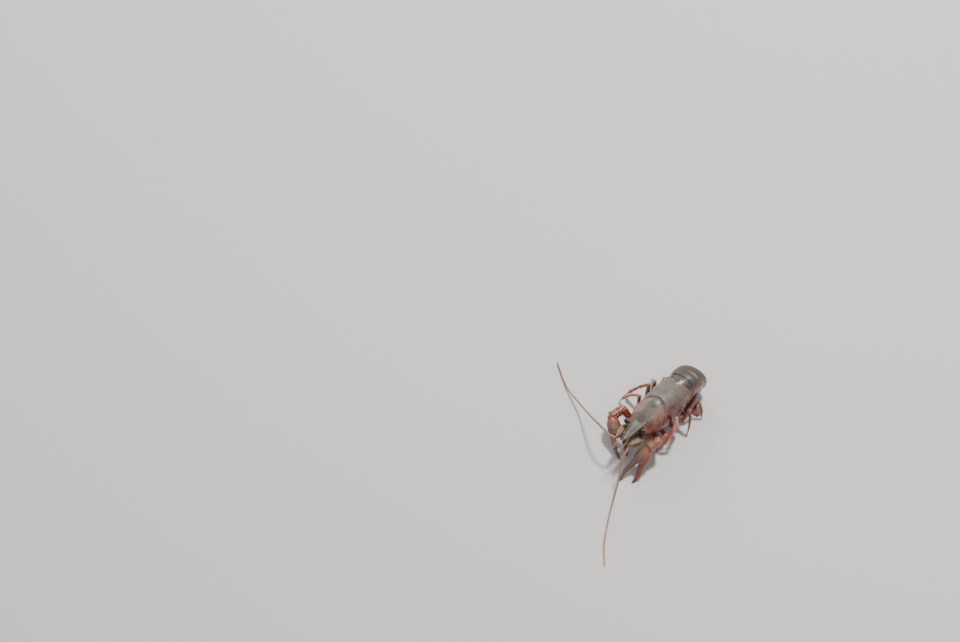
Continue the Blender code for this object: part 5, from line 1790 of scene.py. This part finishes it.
def mouth_bristles():
    """Roots of the combs on the mouth legs and the fringe of the feeler scales."""
    draw = random.Random(33)
    roots = []
    for index, side in enumerate(SIDES.values()):
        points = [mirrored(point, side) for point in MOUTH_LEG]
        for _ in range(MOUTH_BRISTLES):
            part = draw.uniform(0.3, 1.0)
            centre, along = along_path(points, part)
            away = Vector((-side, -0.2, draw.uniform(-0.5, 0.6))).normalized()
            root = centre + away * (1.15 - 0.6 * part)
            patch = ((index + 0.5 * draw.random()) / 4, part)
            roots.append((root, away + along * 0.4, draw.uniform(0.7, 1.3), patch))
        path = smooth_path([mirrored(point, side) for point in SCALE_WAY])
        for k in range(SCALE_BRISTLES):
            part = 0.2 + 0.8 * k / (SCALE_BRISTLES - 1)
            centre, along = along_path(path, part)
            across = along.cross(UP).normalized()
            if across.x * side > 0:
                across = -across
            root = centre + across * curve_value(SCALE_OUTLINE, part) * 0.95
            patch = ((index + 2 + 0.5 * draw.random()) / 4, part)
            roots.append((root, across + along * 0.7, draw.uniform(0.7, 1.2), patch))
    return roots


def claw_bristles():
    """Roots of the sparse bristles along the claw fingers."""
    draw = random.Random(34)
    roots = []
    for index, letter in enumerate(SIDES):
        palm_end, outer_tip, inner_tip = [Vector(p) for p in CLAW_LIMBS[letter][4:]]
        along, outward, up = claw_frame(letter)
        fingers = ((outer_tip, 1, OUTER_BOW), (inner_tip, -1, INNER_BOW))
        for which, (tip, turn, bow) in enumerate(fingers):
            root = palm_end + outward * FINGER_APART * turn
            rings = finger_rings(root, tip, along, outward, up, bow)[0]
            for _ in range(FINGER_BRISTLES):
                part = draw.uniform(0.05, 0.85)
                row = rings[round(part * (len(rings) - 1))]
                spot = draw.choice(row).copy()
                away = (spot - middle_of(row)).normalized()
                spot.z = max(spot.z, 0.1)
                patch = ((index * 2 + which + draw.random()) / 4, part)
                roots.append((spot, away * 0.7 + along * 0.8, draw.uniform(0.25, 0.5), patch))
    return roots


# Stage

def add_floor(colour):
    """A wide pale floor, just under the feet."""
    mesh = bpy.data.meshes.new("studio_floor")
    corners = [(x * FLOOR_REACH, y * FLOOR_REACH, 0) for x, y in ((-1, -1), (1, -1), (1, 1), (-1, 1))]
    mesh.from_pydata(corners, [], [(0, 1, 2, 3)])
    floor = bpy.data.objects.new("studio_floor", mesh)
    floor.location.z = -FLOOR_DROP
    bpy.context.scene.collection.objects.link(floor)
    s = Surface("studio_floor")
    point = s.node("ShaderNodeTexCoord", output="Object")
    cloud = s.noise(point, 0.4, 2.0)
    tone = s.mix(cloud * 0.15, colour, toned(colour, 0.93))
    mesh.materials.append(s.finish(tone, 0.62 + cloud * 0.06))


def add_light(name, place, size, power):
    """A soft square light, in metres, that looks at the animal."""
    light = bpy.data.lights.new(name, "AREA")
    light.size = size
    light.energy = power
    lamp = bpy.data.objects.new(name, light)
    lamp.location = place
    lamp.rotation_mode = "QUATERNION"
    lamp.rotation_quaternion = (-Vector(place)).to_track_quat("-Z", "Y")
    bpy.context.scene.collection.objects.link(lamp)


def add_world():
    """Even pale light from all round."""
    world = bpy.data.worlds.new("studio")
    bpy.context.scene.world = world
    world.use_nodes = True
    background = world.node_tree.nodes["Background"]
    background.inputs["Color"].default_value = SKY_COLOUR
    background.inputs["Strength"].default_value = SKY_STRENGTH


def add_camera():
    """The photograph's view of the animal."""
    sin_a, cos_a = math.sin(CAMERA_AZIMUTH), math.cos(CAMERA_AZIMUTH)
    sin_e, cos_e = math.sin(CAMERA_ELEVATION), math.cos(CAMERA_ELEVATION)
    toward = Vector((sin_a * cos_e, -cos_a * cos_e, sin_e))
    right = Vector((cos_a, sin_a, 0))
    top = toward.cross(right)
    pixel = SENSOR / LENS * CAMERA_DISTANCE / PICTURE[0]
    aside = (AIM_PIXEL[0] - PICTURE[0] / 2) * pixel
    below = (AIM_PIXEL[1] - PICTURE[1] / 2) * pixel
    centre = AIM_POINT - right * aside + top * below
    data = bpy.data.cameras.new("camera")
    data.lens = LENS
    data.sensor_width = SENSOR
    data.clip_start = 0.05
    data.clip_end = 50
    camera = bpy.data.objects.new("camera", data)
    camera.location = (ORIGIN + centre + toward * CAMERA_DISTANCE) * MM
    camera.rotation_mode = "QUATERNION"
    camera.rotation_quaternion = (-toward).to_track_quat("-Z", "Y")
    bpy.context.scene.collection.objects.link(camera)
    bpy.context.scene.camera = camera


# Operators

class CrayfishStage(bpy.types.Operator):
    """Set up the floor, the lights and the camera"""

    bl_idname = "crayfish.stage"
    bl_label = "Stage"

    def execute(self, context):
        add_floor(context.scene.crayfish_colours.floor)
        add_world()
        for light in LIGHTS:
            add_light(*light)
        add_camera()
        return {"FINISHED"}


class CrayfishShell(bpy.types.Operator):
    """Make the carapace with its beak, ridges and spines"""

    bl_idname = "crayfish.shell"
    bl_label = "Carapace"

    def execute(self, context):
        mesh = relief_mesh(shell_forms(), SHELL_VOXEL, shell_grain)
        dress("carapace", mesh, shell_finish())
        return {"FINISHED"}


class CrayfishHead(bpy.types.Operator):
    """Make the face, the jaws, the eyes, the feelers and the mouth legs"""

    bl_idname = "crayfish.head"
    bl_label = "Head"

    def execute(self, context):
        belly = belly_finish()
        feeler = feeler_finish()
        eye = eye_finish()
        face_piece(belly)
        jaws_piece(belly)
        for letter in SIDES:
            eye_pieces(letter, eye, belly)
            feeler_pieces(letter, feeler)
            mouth_pieces(letter, belly)
        return {"FINISHED"}


class CrayfishClaws(bpy.types.Operator):
    """Make both claw limbs"""

    bl_idname = "crayfish.claws"
    bl_label = "Claws"

    def execute(self, context):
        material = claw_finish()
        for letter in SIDES:
            claw_pieces(letter, material)
        return {"FINISHED"}


class CrayfishLegs(bpy.types.Operator):
    """Make the chest's floor and the eight walking legs"""

    bl_idname = "crayfish.legs"
    bl_label = "Walking legs"

    def execute(self, context):
        sternum_piece(belly_finish())
        material = leg_finish()
        for name in LEGS:
            leg_pieces(name, material)
        return {"FINISHED"}


class CrayfishTail(bpy.types.Operator):
    """Make the tail's six rings, its swimmerets and its fan"""

    bl_idname = "crayfish.tail"
    bl_label = "Tail"

    def execute(self, context):
        material = tail_finish()
        for number in range(1, 7):
            tail_piece(number, material)
        belly = belly_finish()
        for number in range(2, 6):
            swimmeret_piece(number, belly)
        fan = fan_finish()
        for name, path, outline, thickness in fan_blades():
            fan_piece(name, path, outline, thickness, fan)
        return {"FINISHED"}


class CrayfishBristles(bpy.types.Operator):
    """Make the bristles of the fan, tail, legs, mouth and claws"""

    bl_idname = "crayfish.bristles"
    bl_label = "Bristles"

    def execute(self, context):
        material = bristle_finish()
        bristle_piece("fan_bristles", fan_bristles(), material, 41)
        bristle_piece("tail_bristles", tail_bristles(), material, 45)
        bristle_piece("leg_bristles", leg_bristles(), material, 42)
        bristle_piece("mouth_bristles", mouth_bristles(), material, 43)
        bristle_piece("claw_bristles", claw_bristles(), material, 44)
        return {"FINISHED"}


OPERATORS = (CrayfishStage, CrayfishShell, CrayfishHead, CrayfishClaws, CrayfishLegs, CrayfishTail,
             CrayfishBristles)


class CrayfishPanel(bpy.types.Panel):
    """Buttons, sizes and colours of the crayfish"""

    bl_idname = "VIEW3D_PT_crayfish"
    bl_label = "Crayfish"
    bl_space_type = "VIEW_3D"
    bl_region_type = "UI"
    bl_category = "Crayfish"

    def draw(self, context):
        for settings in (context.scene.crayfish_sizes, context.scene.crayfish_colours):
            box = self.layout.box()
            for name in settings.__annotations__:
                box.prop(settings, name)
        for operator in OPERATORS:
            self.layout.operator(operator.bl_idname)


CLASSES = (CrayfishSizes, CrayfishColours, *OPERATORS, CrayfishPanel)


def register():
    for kind in CLASSES:
        bpy.utils.register_class(kind)
    bpy.types.Scene.crayfish_sizes = PointerProperty(type=CrayfishSizes)
    bpy.types.Scene.crayfish_colours = PointerProperty(type=CrayfishColours)


def unregister():
    del bpy.types.Scene.crayfish_colours
    del bpy.types.Scene.crayfish_sizes
    for kind in reversed(CLASSES):
        bpy.utils.unregister_class(kind)


def main():
    """Make every piece."""
    register()
    bpy.ops.crayfish.stage()
    bpy.ops.crayfish.shell()
    bpy.ops.crayfish.head()
    bpy.ops.crayfish.claws()
    bpy.ops.crayfish.legs()
    bpy.ops.crayfish.tail()
    bpy.ops.crayfish.bristles()


if __name__ == "__main__":
    main()
